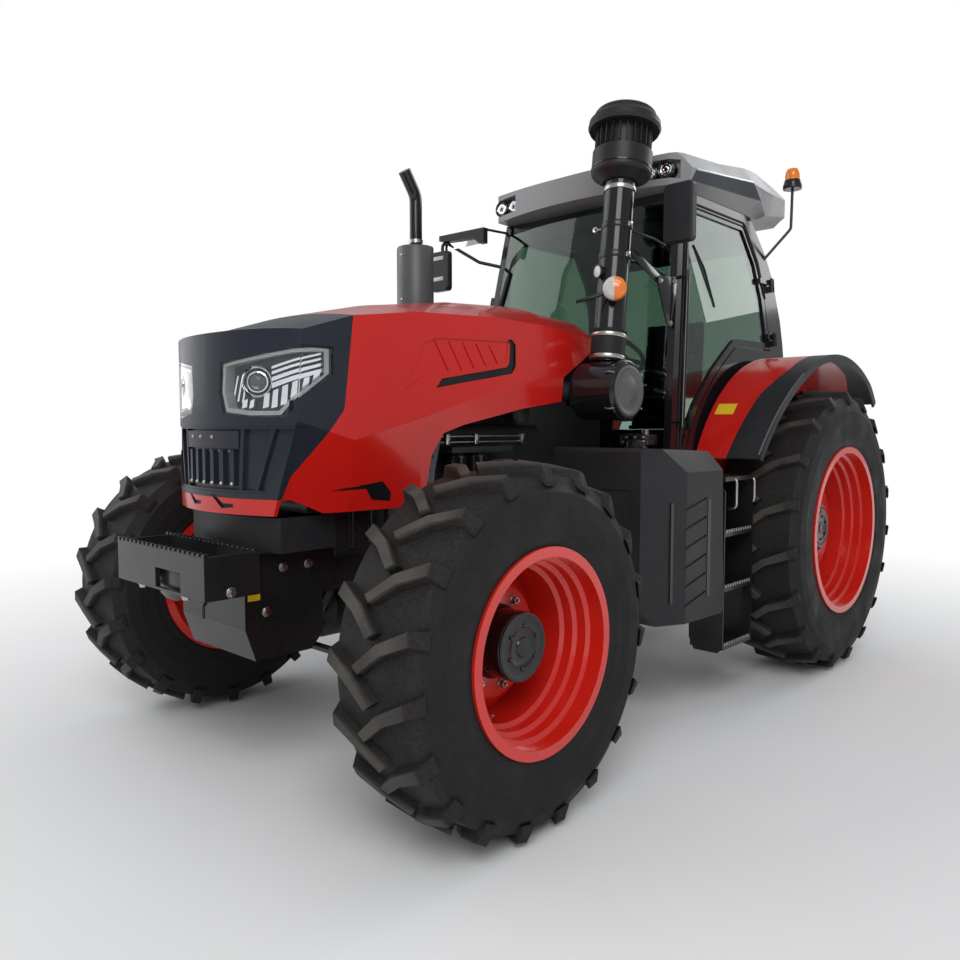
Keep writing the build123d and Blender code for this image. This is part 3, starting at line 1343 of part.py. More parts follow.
save(lift_arms, "lift_arms")

lift_foot = (link_pivot[0] + attach_length, link_pivot[1])
lift_head = (lift_pivot[0] + attach_length, lift_pivot[1])
lift_run = hypot(lift_head[0] - lift_foot[0], lift_head[1] - lift_foot[1])
with BuildPart() as lift_rods:
    for end in (-1, 1):
        foot = Vector(end * rod_x, *lift_foot)
        head = Vector(end * rod_x, *lift_head)
        run = (head - foot).normalized()
        with BuildSketch(Plane(origin=foot + run * 25, z_dir=run)):
            Circle(rod_radius)
        extrude(amount=lift_run - 50)
        with BuildSketch(Plane.YZ.offset(end * (rod_x - 13))):
            with Locations(lift_foot, lift_head):
                Circle(eye_radius)
        extrude(amount=end * 26)
        with BuildSketch(Plane.YZ.offset(end * (rod_x - 20))):
            with Locations(lift_foot, lift_head):
                Circle(13 + pin_fit)
        extrude(amount=end * 40, mode=Mode.SUBTRACT)
save(lift_rods, "lift_rods")

drawbar_y = (1480, 2100)  # front end and towing hole
drawbar_z = 396
drawbar_size = (80, 32)
drawbar_hole = 16.5
with BuildPart() as drawbar:
    with BuildSketch(Plane.XY.offset(drawbar_z)):
        with Locations((0, sum(drawbar_y) / 2)):
            Rectangle(drawbar_size[0], drawbar_y[1] - drawbar_y[0])
        with Locations((0, drawbar_y[1])):
            Circle(drawbar_size[0] / 2)
            Circle(drawbar_hole, mode=Mode.SUBTRACT)
    extrude(amount=drawbar_size[1])
    with Locations((0, 1560, drawbar_z + 98)):
        Box(120, 60, 132)
save(drawbar, "drawbar")
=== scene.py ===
"""Farm tractor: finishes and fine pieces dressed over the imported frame.

Metres. Front towards -Y, the tractor's left towards +X, +Z up.
"""

import json
import logging
import math
from dataclasses import dataclass, field
from enum import Enum

import bmesh
import bpy
from mathutils import Matrix, Vector

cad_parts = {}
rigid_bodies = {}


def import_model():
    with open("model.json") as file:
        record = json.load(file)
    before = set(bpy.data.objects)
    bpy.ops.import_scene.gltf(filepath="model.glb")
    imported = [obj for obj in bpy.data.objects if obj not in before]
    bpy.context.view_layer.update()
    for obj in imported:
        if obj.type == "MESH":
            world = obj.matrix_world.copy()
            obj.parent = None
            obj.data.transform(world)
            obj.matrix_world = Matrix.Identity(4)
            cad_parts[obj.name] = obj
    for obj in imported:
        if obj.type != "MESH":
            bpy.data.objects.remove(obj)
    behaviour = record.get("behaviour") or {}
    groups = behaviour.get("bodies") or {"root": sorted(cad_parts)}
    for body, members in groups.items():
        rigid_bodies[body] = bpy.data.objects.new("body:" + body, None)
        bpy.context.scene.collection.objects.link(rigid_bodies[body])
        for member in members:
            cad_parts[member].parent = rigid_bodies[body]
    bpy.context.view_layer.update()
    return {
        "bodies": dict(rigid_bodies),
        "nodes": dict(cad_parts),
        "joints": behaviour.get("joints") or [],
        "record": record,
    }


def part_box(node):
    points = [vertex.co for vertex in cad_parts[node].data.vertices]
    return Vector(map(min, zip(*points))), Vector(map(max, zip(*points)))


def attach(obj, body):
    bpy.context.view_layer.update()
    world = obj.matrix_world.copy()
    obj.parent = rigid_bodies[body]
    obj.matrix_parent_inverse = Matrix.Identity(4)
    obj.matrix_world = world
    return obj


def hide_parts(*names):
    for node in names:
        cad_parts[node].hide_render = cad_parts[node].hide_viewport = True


LOG = logging.getLogger("tractor")
Point = tuple[float, float, float]
Colour = tuple[float, float, float]
Outline = list[tuple[float, float]]


# ---------------------------------------------------------------- finishes


class Pattern(Enum):
    """Surface relief that a finish carries."""

    SMOOTH = "smooth"
    ORANGE_PEEL = "orange_peel"
    GRAIN = "grain"
    CAST = "cast"
    WEAVE = "weave"


class NodeGraph:
    """Small helper that adds and links the nodes of one material."""

    def __init__(self, name: str) -> None:
        """Start an empty material.

        Args:
            name: Name of the material.
        """
        self.material = bpy.data.materials.new(name)
        self.material.use_nodes = True
        self.tree = self.material.node_tree
        self.shader = self.tree.nodes["Principled BSDF"]
        self.place = self.tree.nodes.new("ShaderNodeTexCoord").outputs["Object"]

    def add(self, kind: str, **inputs: object) -> bpy.types.Node:
        """Add a node and set or link its inputs.

        Args:
            kind: Name of the node type.
            **inputs: Value or output socket for each input, by name with underscores for spaces.

        Returns:
            The new node.
        """
        node = self.tree.nodes.new(kind)
        for key, value in inputs.items():
            self.feed(node.inputs[key.replace("_", " ")], value)
        return node

    def feed(self, socket: bpy.types.NodeSocket, value: object) -> None:
        """Link an output to a socket, or set the socket's value."""
        if isinstance(value, bpy.types.NodeSocket):
            self.tree.links.new(value, socket)
        else:
            socket.default_value = value

    def noise(self, scale: float, detail: float = 4.0,
              place: object = None) -> bpy.types.NodeSocket:
        """Noise factor in object space.

        Args:
            scale: Number of cells to a metre.
            detail: Octaves of the noise.
            place: Coordinates to read instead of the object's own.

        Returns:
            The factor output.
        """
        node = self.add("ShaderNodeTexNoise", Vector=place or self.place, Scale=scale,
                        Detail=detail)
        return node.outputs["Factor"] if "Factor" in node.outputs else node.outputs["Fac"]

    def ramp(self, factor: object,
             stops: list[tuple[float, tuple[float, ...]]]) -> bpy.types.NodeSocket:
        """Colour ramp over a factor.

        Args:
            factor: Socket that drives the ramp.
            stops: Position and colour of each stop.

        Returns:
            The colour output.
        """
        node = self.add("ShaderNodeValToRGB", Fac=factor)
        band = node.color_ramp
        for index, (position, colour) in enumerate(stops):
            stop = band.elements[index] if index < 2 else band.elements.new(position)
            stop.position = position
            stop.color = (*colour[:3], 1.0)
        return node.outputs["Color"]

    def span(self, factor: object, low: float, high: float, start: float,
             end: float) -> bpy.types.NodeSocket:
        """Map a factor from low..high to start..end, clamped.

        Returns:
            The mapped output.
        """
        node = self.add("ShaderNodeMapRange", Value=factor, From_Min=low, From_Max=high,
                        To_Min=start, To_Max=end)
        return node.outputs["Result"]

    def blend(self, factor: object, first: object, second: object) -> bpy.types.NodeSocket:
        """Mix two colours by a factor.

        Returns:
            The mixed colour.
        """
        node = self.tree.nodes.new("ShaderNodeMix")
        node.data_type = "RGBA"
        for socket, value in ((node.inputs[0], factor), (node.inputs[6], first),
                              (node.inputs[7], second)):
            self.feed(socket, (*value[:3], 1.0) if isinstance(value, tuple) else value)
        return node.outputs[2]

    def bump(self, height: object, strength: float, distance: float) -> None:
        """Give the shader a bump from a height.

        Args:
            height: Socket with the height.
            strength: Strength of the bump.
            distance: Depth in metres that the height's full range stands for.
        """
        node = self.add("ShaderNodeBump", Height=height, Strength=strength, Distance=distance)
        self.feed(self.shader.inputs["Normal"], node.outputs["Normal"])


@dataclass(frozen=True)
class Finish:
    """A finish with a base colour that varies a little, and a relief.

    Attributes:
        name: Name of the finish.
        slot: Slot of the record that the finish belongs to.
        colour: Base colour, linear.
        second: Colour of the dust or shade that lies unevenly over it.
        amount: How much of the second colour shows.
        roughness: Lowest and highest roughness.
        metallic: Metal share.
        coat: Clear coat weight.
        specular: Strength of the reflection of a surface that isn't metal.
        pattern: Relief of the surface.
        scale: Cells of the relief to a metre.
        depth: Depth of the relief in metres.
    """

    name: str
    slot: str
    colour: Colour
    second: Colour
    amount: float = 0.25
    roughness: tuple[float, float] = (0.3, 0.45)
    metallic: float = 0.0
    coat: float = 0.0
    specular: float = 0.5
    pattern: Pattern = Pattern.SMOOTH
    scale: float = 400.0
    depth: float = 0.0002

    def build(self) -> bpy.types.Material:
        """Make the material.

        Returns:
            The material, ready to be assigned.
        """
        graph = NodeGraph(self.name)
        shader = graph.shader
        shader.inputs["Metallic"].default_value = self.metallic
        shader.inputs["Coat Weight"].default_value = self.coat
        shader.inputs["Specular IOR Level"].default_value = self.specular
        shader.inputs["Coat Roughness"].default_value = 0.06
        cloud = graph.noise(3.0, 6.0)
        fine = graph.noise(60.0, 3.0)
        mask = graph.span(cloud, 0.42, 0.72, 0.0, self.amount)
        tone = graph.blend(mask, self.colour, self.second)
        speck = graph.blend(graph.span(fine, 0.35, 0.75, 0.0, self.amount * 0.4), tone, self.second)
        graph.feed(shader.inputs["Base Color"], speck)
        graph.feed(shader.inputs["Roughness"], graph.span(cloud, 0.3, 0.7, *self.roughness))
        self.relief(graph)
        return graph.material

    def relief(self, graph: NodeGraph) -> None:
        """Add the bump that the pattern asks for.

        Args:
            graph: Node graph of the material.
        """
        if self.pattern is Pattern.SMOOTH:
            return
        if self.pattern is Pattern.WEAVE:
            warp = graph.add("ShaderNodeTexWave", Vector=graph.place, Scale=self.scale,
                             Distortion=0.4)
            height = warp.outputs["Fac"]
        elif self.pattern is Pattern.CAST:
            height = graph.noise(self.scale, 8.0)
        else:
            height = graph.noise(self.scale, 2.0)
        graph.bump(height, 0.6, self.depth)


@dataclass(frozen=True)
class TyreFinish:
    """Rubber that is dusty on its lugs and dark on its walls.

    Attributes:
        name: Name of the finish.
        axle: Height and y of the wheel's axis, as (y, z).
        radius: Radius at the lugs' tops.
        lug_height: Height of the lugs.
    """

    name: str
    axle: tuple[float, float]
    radius: float
    lug_height: float
    slot: str = "tyre"

    def build(self) -> bpy.types.Material:
        """Make the material.

        Returns:
            The material, ready to be assigned.
        """
        graph = NodeGraph(self.name)
        shader = graph.shader
        centred = graph.add("ShaderNodeVectorMath", Vector=graph.place)
        centred.operation = "SUBTRACT"
        centred.inputs[1].default_value = (0.0, *self.axle)
        flat = graph.add("ShaderNodeVectorMath", Vector=centred.outputs[0])
        flat.operation = "MULTIPLY"
        flat.inputs[1].default_value = (0.0, 1.0, 1.0)
        length = graph.add("ShaderNodeVectorMath", Vector=flat.outputs[0])
        length.operation = "LENGTH"
        distance = length.outputs["Value"]
        worn = graph.span(distance, self.radius - 0.022, self.radius - 0.008, 0.0, 1.0)
        tread = graph.span(distance, self.radius - self.lug_height - 0.06,
                           self.radius - self.lug_height, 0.0, 1.0)
        cloud = graph.noise(7.0, 8.0)
        fine = graph.noise(90.0, 5.0)
        wall = graph.blend(graph.span(cloud, 0.4, 0.75, 0.0, 0.6), (0.0065, 0.007, 0.0085),
                           (0.016, 0.0155, 0.0155))
        dusty = graph.blend(graph.span(fine, 0.3, 0.7, 0.0, 1.0), (0.012, 0.011, 0.011),
                            (0.026, 0.023, 0.021))
        lower = graph.blend(graph.add("ShaderNodeMath", Value=tread).outputs[0], wall, dusty)
        top = graph.blend(graph.span(cloud, 0.3, 0.7, 0.25, 1.0), (0.034, 0.031, 0.028),
                          (0.085, 0.077, 0.068))
        mask = graph.tree.nodes.new("ShaderNodeMath")
        mask.operation = "MULTIPLY"
        graph.feed(mask.inputs[0], worn)
        graph.feed(mask.inputs[1], graph.span(cloud, 0.25, 0.5, 0.55, 1.0))
        graph.feed(shader.inputs["Base Color"], graph.blend(mask.outputs[0], lower, top))
        graph.feed(shader.inputs["Roughness"], graph.span(cloud, 0.3, 0.7, 0.52, 0.80))
        shader.inputs["Specular IOR Level"].default_value = 0.22
        rings = graph.add("ShaderNodeTexWave", Vector=graph.add(
            "ShaderNodeCombineXYZ", X=distance).outputs["Vector"], Scale=6.0)
        bead = graph.span(distance, self.radius * 0.60, self.radius * 0.72, 1.0, 0.0)
        ribs = graph.add("ShaderNodeMath", Value=rings.outputs["Fac"])
        ribs.operation = "MULTIPLY"
        graph.feed(ribs.inputs[1], bead)
        height = graph.add("ShaderNodeMath", Value=ribs.outputs[0])
        graph.feed(height.inputs[1], graph.span(fine, 0.0, 1.0, 0.0, 0.2))
        graph.bump(height.outputs[0], 0.8, 0.003)
        return graph.material


@dataclass(frozen=True)
class ClearFinish:
    """Glass or a clear lens.

    Attributes:
        name: Name of the finish.
        tint: Colour of the light that passes.
        roughness: Roughness of its surface.
    """

    name: str
    slot: str
    tint: Colour
    roughness: float = 0.0
    ior: float = 1.45

    def build(self) -> bpy.types.Material:
        """Make the material.

        Returns:
            The material, ready to be assigned.
        """
        graph = NodeGraph(self.name)
        shader = graph.shader
        shader.inputs["Transmission Weight"].default_value = 1.0
        shader.inputs["IOR"].default_value = self.ior
        smear = graph.noise(5.0, 6.0)
        dim = tuple(0.93 * part for part in self.tint)
        graph.feed(shader.inputs["Base Color"],
                   graph.blend(graph.span(smear, 0.4, 0.7, 0.0, 1.0), self.tint, dim))
        graph.feed(shader.inputs["Roughness"],
                   graph.span(smear, 0.45, 0.75, self.roughness, self.roughness + 0.02))
        return graph.material


FRONT_AXLE = (-1.630, 0.688)
REAR_AXLE = (1.290, 0.860)
BEACON = (0.800, 1.515, 3.045)
MUFFLER = (-0.650, -0.500)
RED = (0.56, 0.012, 0.008)
FINISHES: dict[str, object] = {
    finish.name: finish
    for finish in (
        Finish("red_panel", "red_paint", RED, (0.40, 0.010, 0.008), 0.25, (0.16, 0.24), coat=0.2,
               specular=0.35, pattern=Pattern.ORANGE_PEEL, scale=260.0, depth=0.00012),
        Finish("red_rim", "rim_red", (0.62, 0.016, 0.008), (0.42, 0.014, 0.010), 0.3, (0.20, 0.32),
               coat=0.5, pattern=Pattern.ORANGE_PEEL, scale=220.0, depth=0.00015),
        Finish("cast_black", "black_cast", (0.012, 0.012, 0.013), (0.035, 0.032, 0.030), 0.45,
               (0.32, 0.5), specular=0.28, pattern=Pattern.CAST, scale=130.0, depth=0.0012),
        Finish("plate_black", "black_cast", (0.010, 0.010, 0.011), (0.024, 0.024, 0.026), 0.4,
               (0.22, 0.36),
               coat=0.2, specular=0.28, pattern=Pattern.ORANGE_PEEL, scale=180.0, depth=0.0003),
        Finish("gloss_black", "black_paint", (0.008, 0.008, 0.009), (0.018, 0.018, 0.020), 0.3,
               (0.12, 0.2),
               coat=0.25, specular=0.3, pattern=Pattern.ORANGE_PEEL, scale=200.0, depth=0.0001),
        Finish("engine_grey", "grey_cast", (0.030, 0.031, 0.034), (0.080, 0.078, 0.075), 0.4,
               (0.38, 0.6),
               metallic=0.3, specular=0.28, pattern=Pattern.CAST, scale=110.0, depth=0.0016),
        Finish("exhaust_steel", "grey_cast", (0.050, 0.050, 0.053), (0.020, 0.019, 0.018), 0.5,
               (0.34, 0.5), metallic=0.7, pattern=Pattern.GRAIN, scale=500.0, depth=0.0003),
        Finish("nose_plastic", "navy_plastic", (0.016, 0.019, 0.029), (0.030, 0.033, 0.044), 0.35,
               (0.30, 0.42),
               coat=0.08, specular=0.22, pattern=Pattern.GRAIN, scale=900.0, depth=0.00015),
        Finish("dark_plastic", "dark_plastic", (0.015, 0.015, 0.017), (0.034, 0.034, 0.036), 0.4,
               (0.36, 0.52), specular=0.28, pattern=Pattern.GRAIN, scale=900.0, depth=0.0003),
        Finish("roof_grey", "grey_plastic", (0.235, 0.24, 0.245), (0.185, 0.19, 0.195), 0.35,
               (0.32, 0.45),
               coat=0.05, specular=0.3, pattern=Pattern.GRAIN, scale=700.0, depth=0.0002),
        Finish("seat_cloth", "fabric", (0.022, 0.022, 0.025), (0.050, 0.050, 0.056), 0.5,
               (0.8, 0.95), specular=0.28, pattern=Pattern.WEAVE, scale=260.0, depth=0.0008),
        Finish("amber_lens", "amber", (0.85, 0.22, 0.008), (0.60, 0.13, 0.004), 0.4, (0.10, 0.2),
               coat=0.5, pattern=Pattern.ORANGE_PEEL, scale=90.0, depth=0.0006),
        Finish("zinc", "grey_cast", (0.52, 0.50, 0.46), (0.30, 0.28, 0.24), 0.5, (0.22, 0.40),
               metallic=1.0, pattern=Pattern.GRAIN, scale=300.0, depth=0.0002),
        Finish("chrome", "lens", (0.80, 0.81, 0.83), (0.62, 0.63, 0.66), 0.4, (0.04, 0.12),
               metallic=1.0, pattern=Pattern.ORANGE_PEEL, scale=60.0, depth=0.0002),
        Finish("lamp_dark", "lens", (0.020, 0.022, 0.026), (0.050, 0.054, 0.060), 0.4, (0.2, 0.35),
               metallic=0.4, pattern=Pattern.GRAIN, scale=500.0, depth=0.0002),
        Finish("lamp_bezel", "lens", (0.46, 0.47, 0.48), (0.34, 0.35, 0.36), 0.35, (0.25, 0.4),
               coat=0.2, pattern=Pattern.GRAIN, scale=600.0, depth=0.0001),
        Finish("lamp_frosted", "lens", (0.62, 0.61, 0.58), (0.45, 0.44, 0.41), 0.5, (0.08, 0.2),
               coat=0.6, pattern=Pattern.CAST, scale=70.0, depth=0.0012),
        # Near-black: real black parts, the vents' black mesh with painted shade of their openings,
        # and painted shade in the heat shield's holes.
        Finish("vent_black", "navy_plastic", (0.004, 0.004, 0.005), (0.010, 0.010, 0.011), 0.4,
               (0.35, 0.5), specular=0.28, pattern=Pattern.GRAIN, scale=900.0, depth=0.0002),
        Finish("rubber", "dark_plastic", (0.010, 0.010, 0.010), (0.024, 0.023, 0.022), 0.5,
               (0.5, 0.7), specular=0.28, pattern=Pattern.GRAIN, scale=500.0, depth=0.0003),
        Finish("lid_grey", "grey_plastic", (0.085, 0.088, 0.092), (0.050, 0.052, 0.055), 0.4,
               (0.30, 0.45), pattern=Pattern.GRAIN, scale=700.0, depth=0.0002),
        Finish("label_yellow", "amber", (0.78, 0.52, 0.02), (0.62, 0.40, 0.02), 0.3, (0.3, 0.42),
               pattern=Pattern.ORANGE_PEEL, scale=200.0, depth=0.0001),
        # Light grey: real trim on the roof and the blank plate, painted highlights on the mirror's
        # back.
        Finish("trim_light", "grey_plastic", (0.50, 0.50, 0.50), (0.36, 0.36, 0.36), 0.3,
               (0.2, 0.32), coat=0.3, pattern=Pattern.ORANGE_PEEL, scale=200.0, depth=0.0001),
        Finish("roof_inlay", "grey_plastic", (0.022, 0.028, 0.036), (0.040, 0.046, 0.056), 0.35,
               (0.45, 0.6), specular=0.15, pattern=Pattern.GRAIN, scale=700.0, depth=0.0001),
        # Pale grey metal laid along the bracket's edges, its window lip and the steps' teeth.
        Finish("worn_edge", "black_cast", (0.42, 0.40, 0.37), (0.10, 0.09, 0.09), 0.5, (0.3, 0.5),
               metallic=0.8, pattern=Pattern.GRAIN, scale=220.0, depth=0.0003),
        Finish("red_lens", "amber", (0.50, 0.010, 0.008), (0.34, 0.008, 0.006), 0.4, (0.1, 0.2),
               coat=0.5, pattern=Pattern.ORANGE_PEEL, scale=90.0, depth=0.0006),
        ClearFinish("window_glass", "glass", (0.20, 0.30, 0.24)),
        ClearFinish("lamp_lens", "lens", (0.93, 0.95, 0.97)),
    )
}

NODE_FINISH: dict[str, str] = {
    "hood_shell": "red_panel", "fenders": "red_panel", "nose_mask": "nose_plastic",
    "grille": "nose_plastic", "headlights": "lamp_lens", "nose_apron": "dark_plastic",
    "ballast_bracket": "plate_black", "front_frame": "plate_black", "front_axle": "cast_black",
    "knuckle_left": "cast_black", "knuckle_right": "cast_black", "tie_rod": "plate_black",
    "engine_block": "engine_grey", "radiator": "plate_black", "transmission_housing": "cast_black",
    "rear_axle_housing": "cast_black", "hitch_housing": "cast_black", "lower_links": "plate_black",
    "lift_arms": "plate_black", "lift_rods": "plate_black", "drawbar": "plate_black",
    "rim_front_left": "red_rim", "rim_front_right": "red_rim", "rim_rear_left": "red_rim",
    "rim_rear_right": "red_rim", "cowl": "dark_plastic", "cab_platform": "plate_black",
    "cab_frame": "gloss_black", "door_frame_left": "gloss_black",
    "door_frame_right": "gloss_black", "door_glass_left": "window_glass",
    "door_glass_right": "window_glass", "cab_windows": "window_glass", "cab_roof": "roof_grey",
    "lamps": "lamp_lens", "fender_flares": "dark_plastic", "fuel_tank": "dark_plastic",
    "side_box": "dark_plastic", "steps": "plate_black", "air_filter": "gloss_black",
    "intake_stack": "gloss_black", "pre_cleaner": "dark_plastic", "muffler": "exhaust_steel",
    "exhaust_pipe": "gloss_black", "mirrors": "dark_plastic", "beacon": "plate_black",
    "driver_seat": "seat_cloth", "dash_console": "dark_plastic", "steering_wheel": "dark_plastic",
}


class Palette:
    """Materials made once and handed out by name."""

    def __init__(self) -> None:
        """Start with no material made."""
        self.made: dict[str, bpy.types.Material] = {}

    def get(self, name: str) -> bpy.types.Material:
        """Material of a finish, made at first use.

        Args:
            name: Name of the finish.

        Returns:
            The material.
        """
        if name not in self.made:
            self.made[name] = FINISHES[name].build()
        return self.made[name]

    def dress(self, piece: bpy.types.Object, name: str) -> None:
        """Give a whole piece one finish.

        Args:
            piece: The mesh object.
            name: Name of the finish.
        """
        piece.data.materials.clear()
        piece.data.materials.append(self.get(name))


# ---------------------------------------------------------------- bench


class Facing(Enum):
    """Plane of a flat outline, as the axes of its two numbers and the axis it is pushed along."""

    SIDE = (1, 2, 0)
    FRONT = (0, 2, 1)
    TOP = (0, 1, 2)

    def place(self, across: float, up: float, along: float) -> Vector:
        """Point in space of a point of the outline."""
        point = Vector((0.0, 0.0, 0.0))
        for axis, value in zip(self.value, (across, up, along)):
            point[axis] = value
        return point


class Bench:
    """The operators that shape the fine pieces, used as by hand."""

    @staticmethod
    def clear() -> None:
        """Leave edit mode and select nothing."""
        if bpy.context.object and bpy.context.object.mode != "OBJECT":
            bpy.ops.object.mode_set(mode="OBJECT")
        bpy.ops.object.select_all(action="DESELECT")

    @staticmethod
    def pick(*pieces: bpy.types.Object) -> None:
        """Select some pieces alone, the first of them active."""
        Bench.clear()
        for piece in pieces:
            piece.select_set(True)
        bpy.context.view_layer.objects.active = pieces[0]

    @staticmethod
    def named(name: str) -> bpy.types.Object:
        """Name the piece that was just added.

        Args:
            name: Name of the piece.

        Returns:
            The piece.
        """
        piece = bpy.context.object
        piece.name = name
        piece.data.name = name
        return piece

    @staticmethod
    def settle(piece: bpy.types.Object, angle: float = 32.0) -> bpy.types.Object:
        """Put the piece's place into its mesh and shade it smooth up to an angle.

        Args:
            piece: The piece.
            angle: Edges sharper than this many degrees stay sharp.

        Returns:
            The piece.
        """
        Bench.pick(piece)
        bpy.ops.object.transform_apply(location=True, rotation=True, scale=True)
        bpy.ops.object.shade_smooth_by_angle(angle=math.radians(angle))
        return piece

    @staticmethod
    def edit(piece: bpy.types.Object) -> None:
        """Open a piece in edit mode with all of it selected."""
        Bench.pick(piece)
        bpy.ops.object.mode_set(mode="EDIT")
        bpy.ops.mesh.select_all(action="SELECT")

    @staticmethod
    def close(outwards: bool = True) -> None:
        """Leave edit mode, with the faces turned outwards first."""
        bpy.ops.mesh.select_all(action="SELECT")
        if outwards:
            bpy.ops.mesh.normals_make_consistent(inside=False)
        bpy.ops.object.mode_set(mode="OBJECT")

    @staticmethod
    def apply(piece: bpy.types.Object) -> None:
        """Apply all modifiers of a piece, in their order."""
        Bench.pick(piece)
        for modifier in list(piece.modifiers):
            bpy.ops.object.modifier_apply(modifier=modifier.name)

    @staticmethod
    def block(name: str, low: Point, high: Point, bevel: float = 0.002,
              segments: int = 2) -> bpy.types.Object:
        """Block between two corners with worked edges.

        Args:
            name: Name of the piece.
            low: Lowest corner.
            high: Highest corner.
            bevel: Width of the edges' bevel.
            segments: Faces across the bevel.

        Returns:
            The piece.
        """
        Bench.clear()
        middle = [(a + b) / 2 for a, b in zip(low, high)]
        bpy.ops.mesh.primitive_cube_add(size=1.0, location=middle,
                                        scale=[b - a for a, b in zip(low, high)])
        piece = Bench.named(name)
        bpy.ops.object.transform_apply(location=True, rotation=False, scale=True)
        Bench.edit(piece)
        bpy.ops.mesh.bevel(offset=bevel, segments=segments, affect="EDGES")
        Bench.close()
        return Bench.settle(piece)

    @staticmethod
    def face(name: str, outline: Outline, facing: Facing, start: float) -> bpy.types.Object:
        """Flat face with the given corners.

        Args:
            name: Name of the piece.
            outline: Corners in the plane of the facing.
            facing: Plane of the outline.
            start: Where the plane lies along the third axis.

        Returns:
            The piece.
        """
        Bench.clear()
        bpy.ops.mesh.primitive_circle_add(vertices=len(outline), fill_type="NGON")
        piece = Bench.named(name)
        for vertex, (across, up) in zip(piece.data.vertices, outline):
            vertex.co = facing.place(across, up, start)
        return piece

    @staticmethod
    def prism(name: str, outline: Outline, facing: Facing, start: float, depth: float,
              bevel: float = 0.0, segments: int = 2) -> bpy.types.Object:
        """Outline pushed along the third axis.

        Args:
            name: Name of the piece.
            outline: Corners in the plane of the facing.
            facing: Plane of the outline.
            start: Where the first face lies along the third axis.
            depth: How far it is pushed; negative goes the other way.
            bevel: Width of the edges' bevel, none where it is zero.
            segments: Faces across the bevel.

        Returns:
            The piece.
        """
        piece = Bench.face(name, outline, facing, start)
        Bench.edit(piece)
        bpy.ops.mesh.extrude_region_move(TRANSFORM_OT_translate={"value": facing.place(0.0, 0.0,
                                                                                       depth)})
        bpy.ops.mesh.select_all(action="SELECT")
        if bevel:
            bpy.ops.mesh.bevel(offset=bevel, segments=segments, affect="EDGES")
        Bench.close()
        return Bench.settle(piece)

    @staticmethod
    def aimed(origin: Point, direction: Point) -> Matrix:
        """Placement that turns +Z to a direction at a point."""
        turn = Vector(direction).to_track_quat("Z", "Y")
        return Matrix.Translation(origin) @ turn.to_matrix().to_4x4()

    @staticmethod
    def turned(name: str, origin: Point, direction: Point, profile: Outline,
               steps: int = 32) -> bpy.types.Object:
        """Closed profile spun round an axis.

        Args:
            name: Name of the piece.
            origin: Foot of the axis.
            direction: Direction of the axis.
            profile: Corners as (radius, height above the foot); it may run along the axis.
            steps: Faces round the axis.

        Returns:
            The piece.
        """
        Bench.clear()
        bpy.ops.mesh.primitive_circle_add(vertices=len(profile), fill_type="NOTHING")
        piece = Bench.named(name)
        for vertex, (radius, height) in zip(piece.data.vertices, profile):
            vertex.co = (radius, 0.0, height)
        Bench.edit(piece)
        bpy.ops.mesh.spin(steps=steps, angle=math.tau, center=(0.0, 0.0, 0.0), axis=(0.0, 0.0, 1.0))
        bpy.ops.mesh.select_all(action="SELECT")
        bpy.ops.mesh.remove_doubles(threshold=0.00002)
        bpy.ops.mesh.delete_loose(use_verts=True, use_edges=True, use_faces=False)
        Bench.close()
        piece.matrix_world = Bench.aimed(origin, direction)
        return Bench.settle(piece)

    @staticmethod
    def rounded(points: list[Point], bend: float) -> list[Vector]:
        """Points of a run whose corners are rounded.

        Args:
            points: Corners of the run.
            bend: How far from each corner its bend begins.

        Returns:
            The points of the rounded run.
        """
        corners = [Vector(point) for point in points]
        if bend <= 0.0:
            return corners
        run = [corners[0]]
        for before, corner, after in zip(corners, corners[1:], corners[2:]):
            start = corner + (before - corner).normalized() * bend
            end = corner + (after - corner).normalized() * bend
            for step in range(7):
                part = step / 6
                run.append(start.lerp(corner, part).lerp(corner.lerp(end, part), part))
        return run + [corners[-1]]

    @staticmethod
    def rod(name: str, points: list[Point], radius: float, bend: float = 0.0,
            sides: int = 3) -> bpy.types.Object:
        """Round bar or pipe along a run.

        Args:
            name: Name of the piece.
            points: Corners of the run.
            radius: Radius of the bar.
            bend: How far from each corner its bend begins.
            sides: Roundness of its section.

        Returns:
            The piece.
        """
        Bench.clear()
        bpy.ops.curve.primitive_nurbs_path_add()
        piece = Bench.named(name)
        run = Bench.rounded(points, bend)
        curve = piece.data
        curve.splines.clear()
        spline = curve.splines.new("POLY")
        spline.points.add(len(run) - 1)
        for point, place in zip(spline.points, run):
            point.co = (*place, 1.0)
        curve.dimensions = "3D"
        curve.bevel_depth = radius
        curve.bevel_resolution = sides
        curve.use_fill_caps = True
        bpy.ops.object.convert(target="MESH")
        piece = bpy.context.object
        Bench.edit(piece)
        bpy.ops.mesh.remove_doubles(threshold=0.00002)
        Bench.close()
        return Bench.settle(piece, 45.0)

    @staticmethod
    def joined(name: str, pieces: list[bpy.types.Object]) -> bpy.types.Object:
        """Join pieces into one.

        Args:
            name: Name of the joined piece.
            pieces: The pieces.

        Returns:
            The joined piece.
        """
        Bench.pick(*pieces)
        if len(pieces) > 1:
            bpy.ops.object.join()
        return Bench.named(name)

    @staticmethod
    def copies(name: str, master: bpy.types.Object, places: list[Matrix]) -> bpy.types.Object:
        """Copy a small piece to several places and join the copies.

        Args:
            name: Name of the joined piece.
            master: The piece, made at the origin along +Z; it is removed.
            places: Placement of each copy.

        Returns:
            The joined copies.
        """
        twins = []
        for place in places:
            twin = master.copy()
            twin.data = master.data.copy()
            bpy.context.scene.collection.objects.link(twin)
            twin.matrix_world = place
            twins.append(twin)
        Bench.pick(master)
        bpy.ops.object.delete()
        Bench.pick(*twins)
        bpy.ops.object.transform_apply(location=True, rotation=True, scale=True)
        return Bench.joined(name, twins)

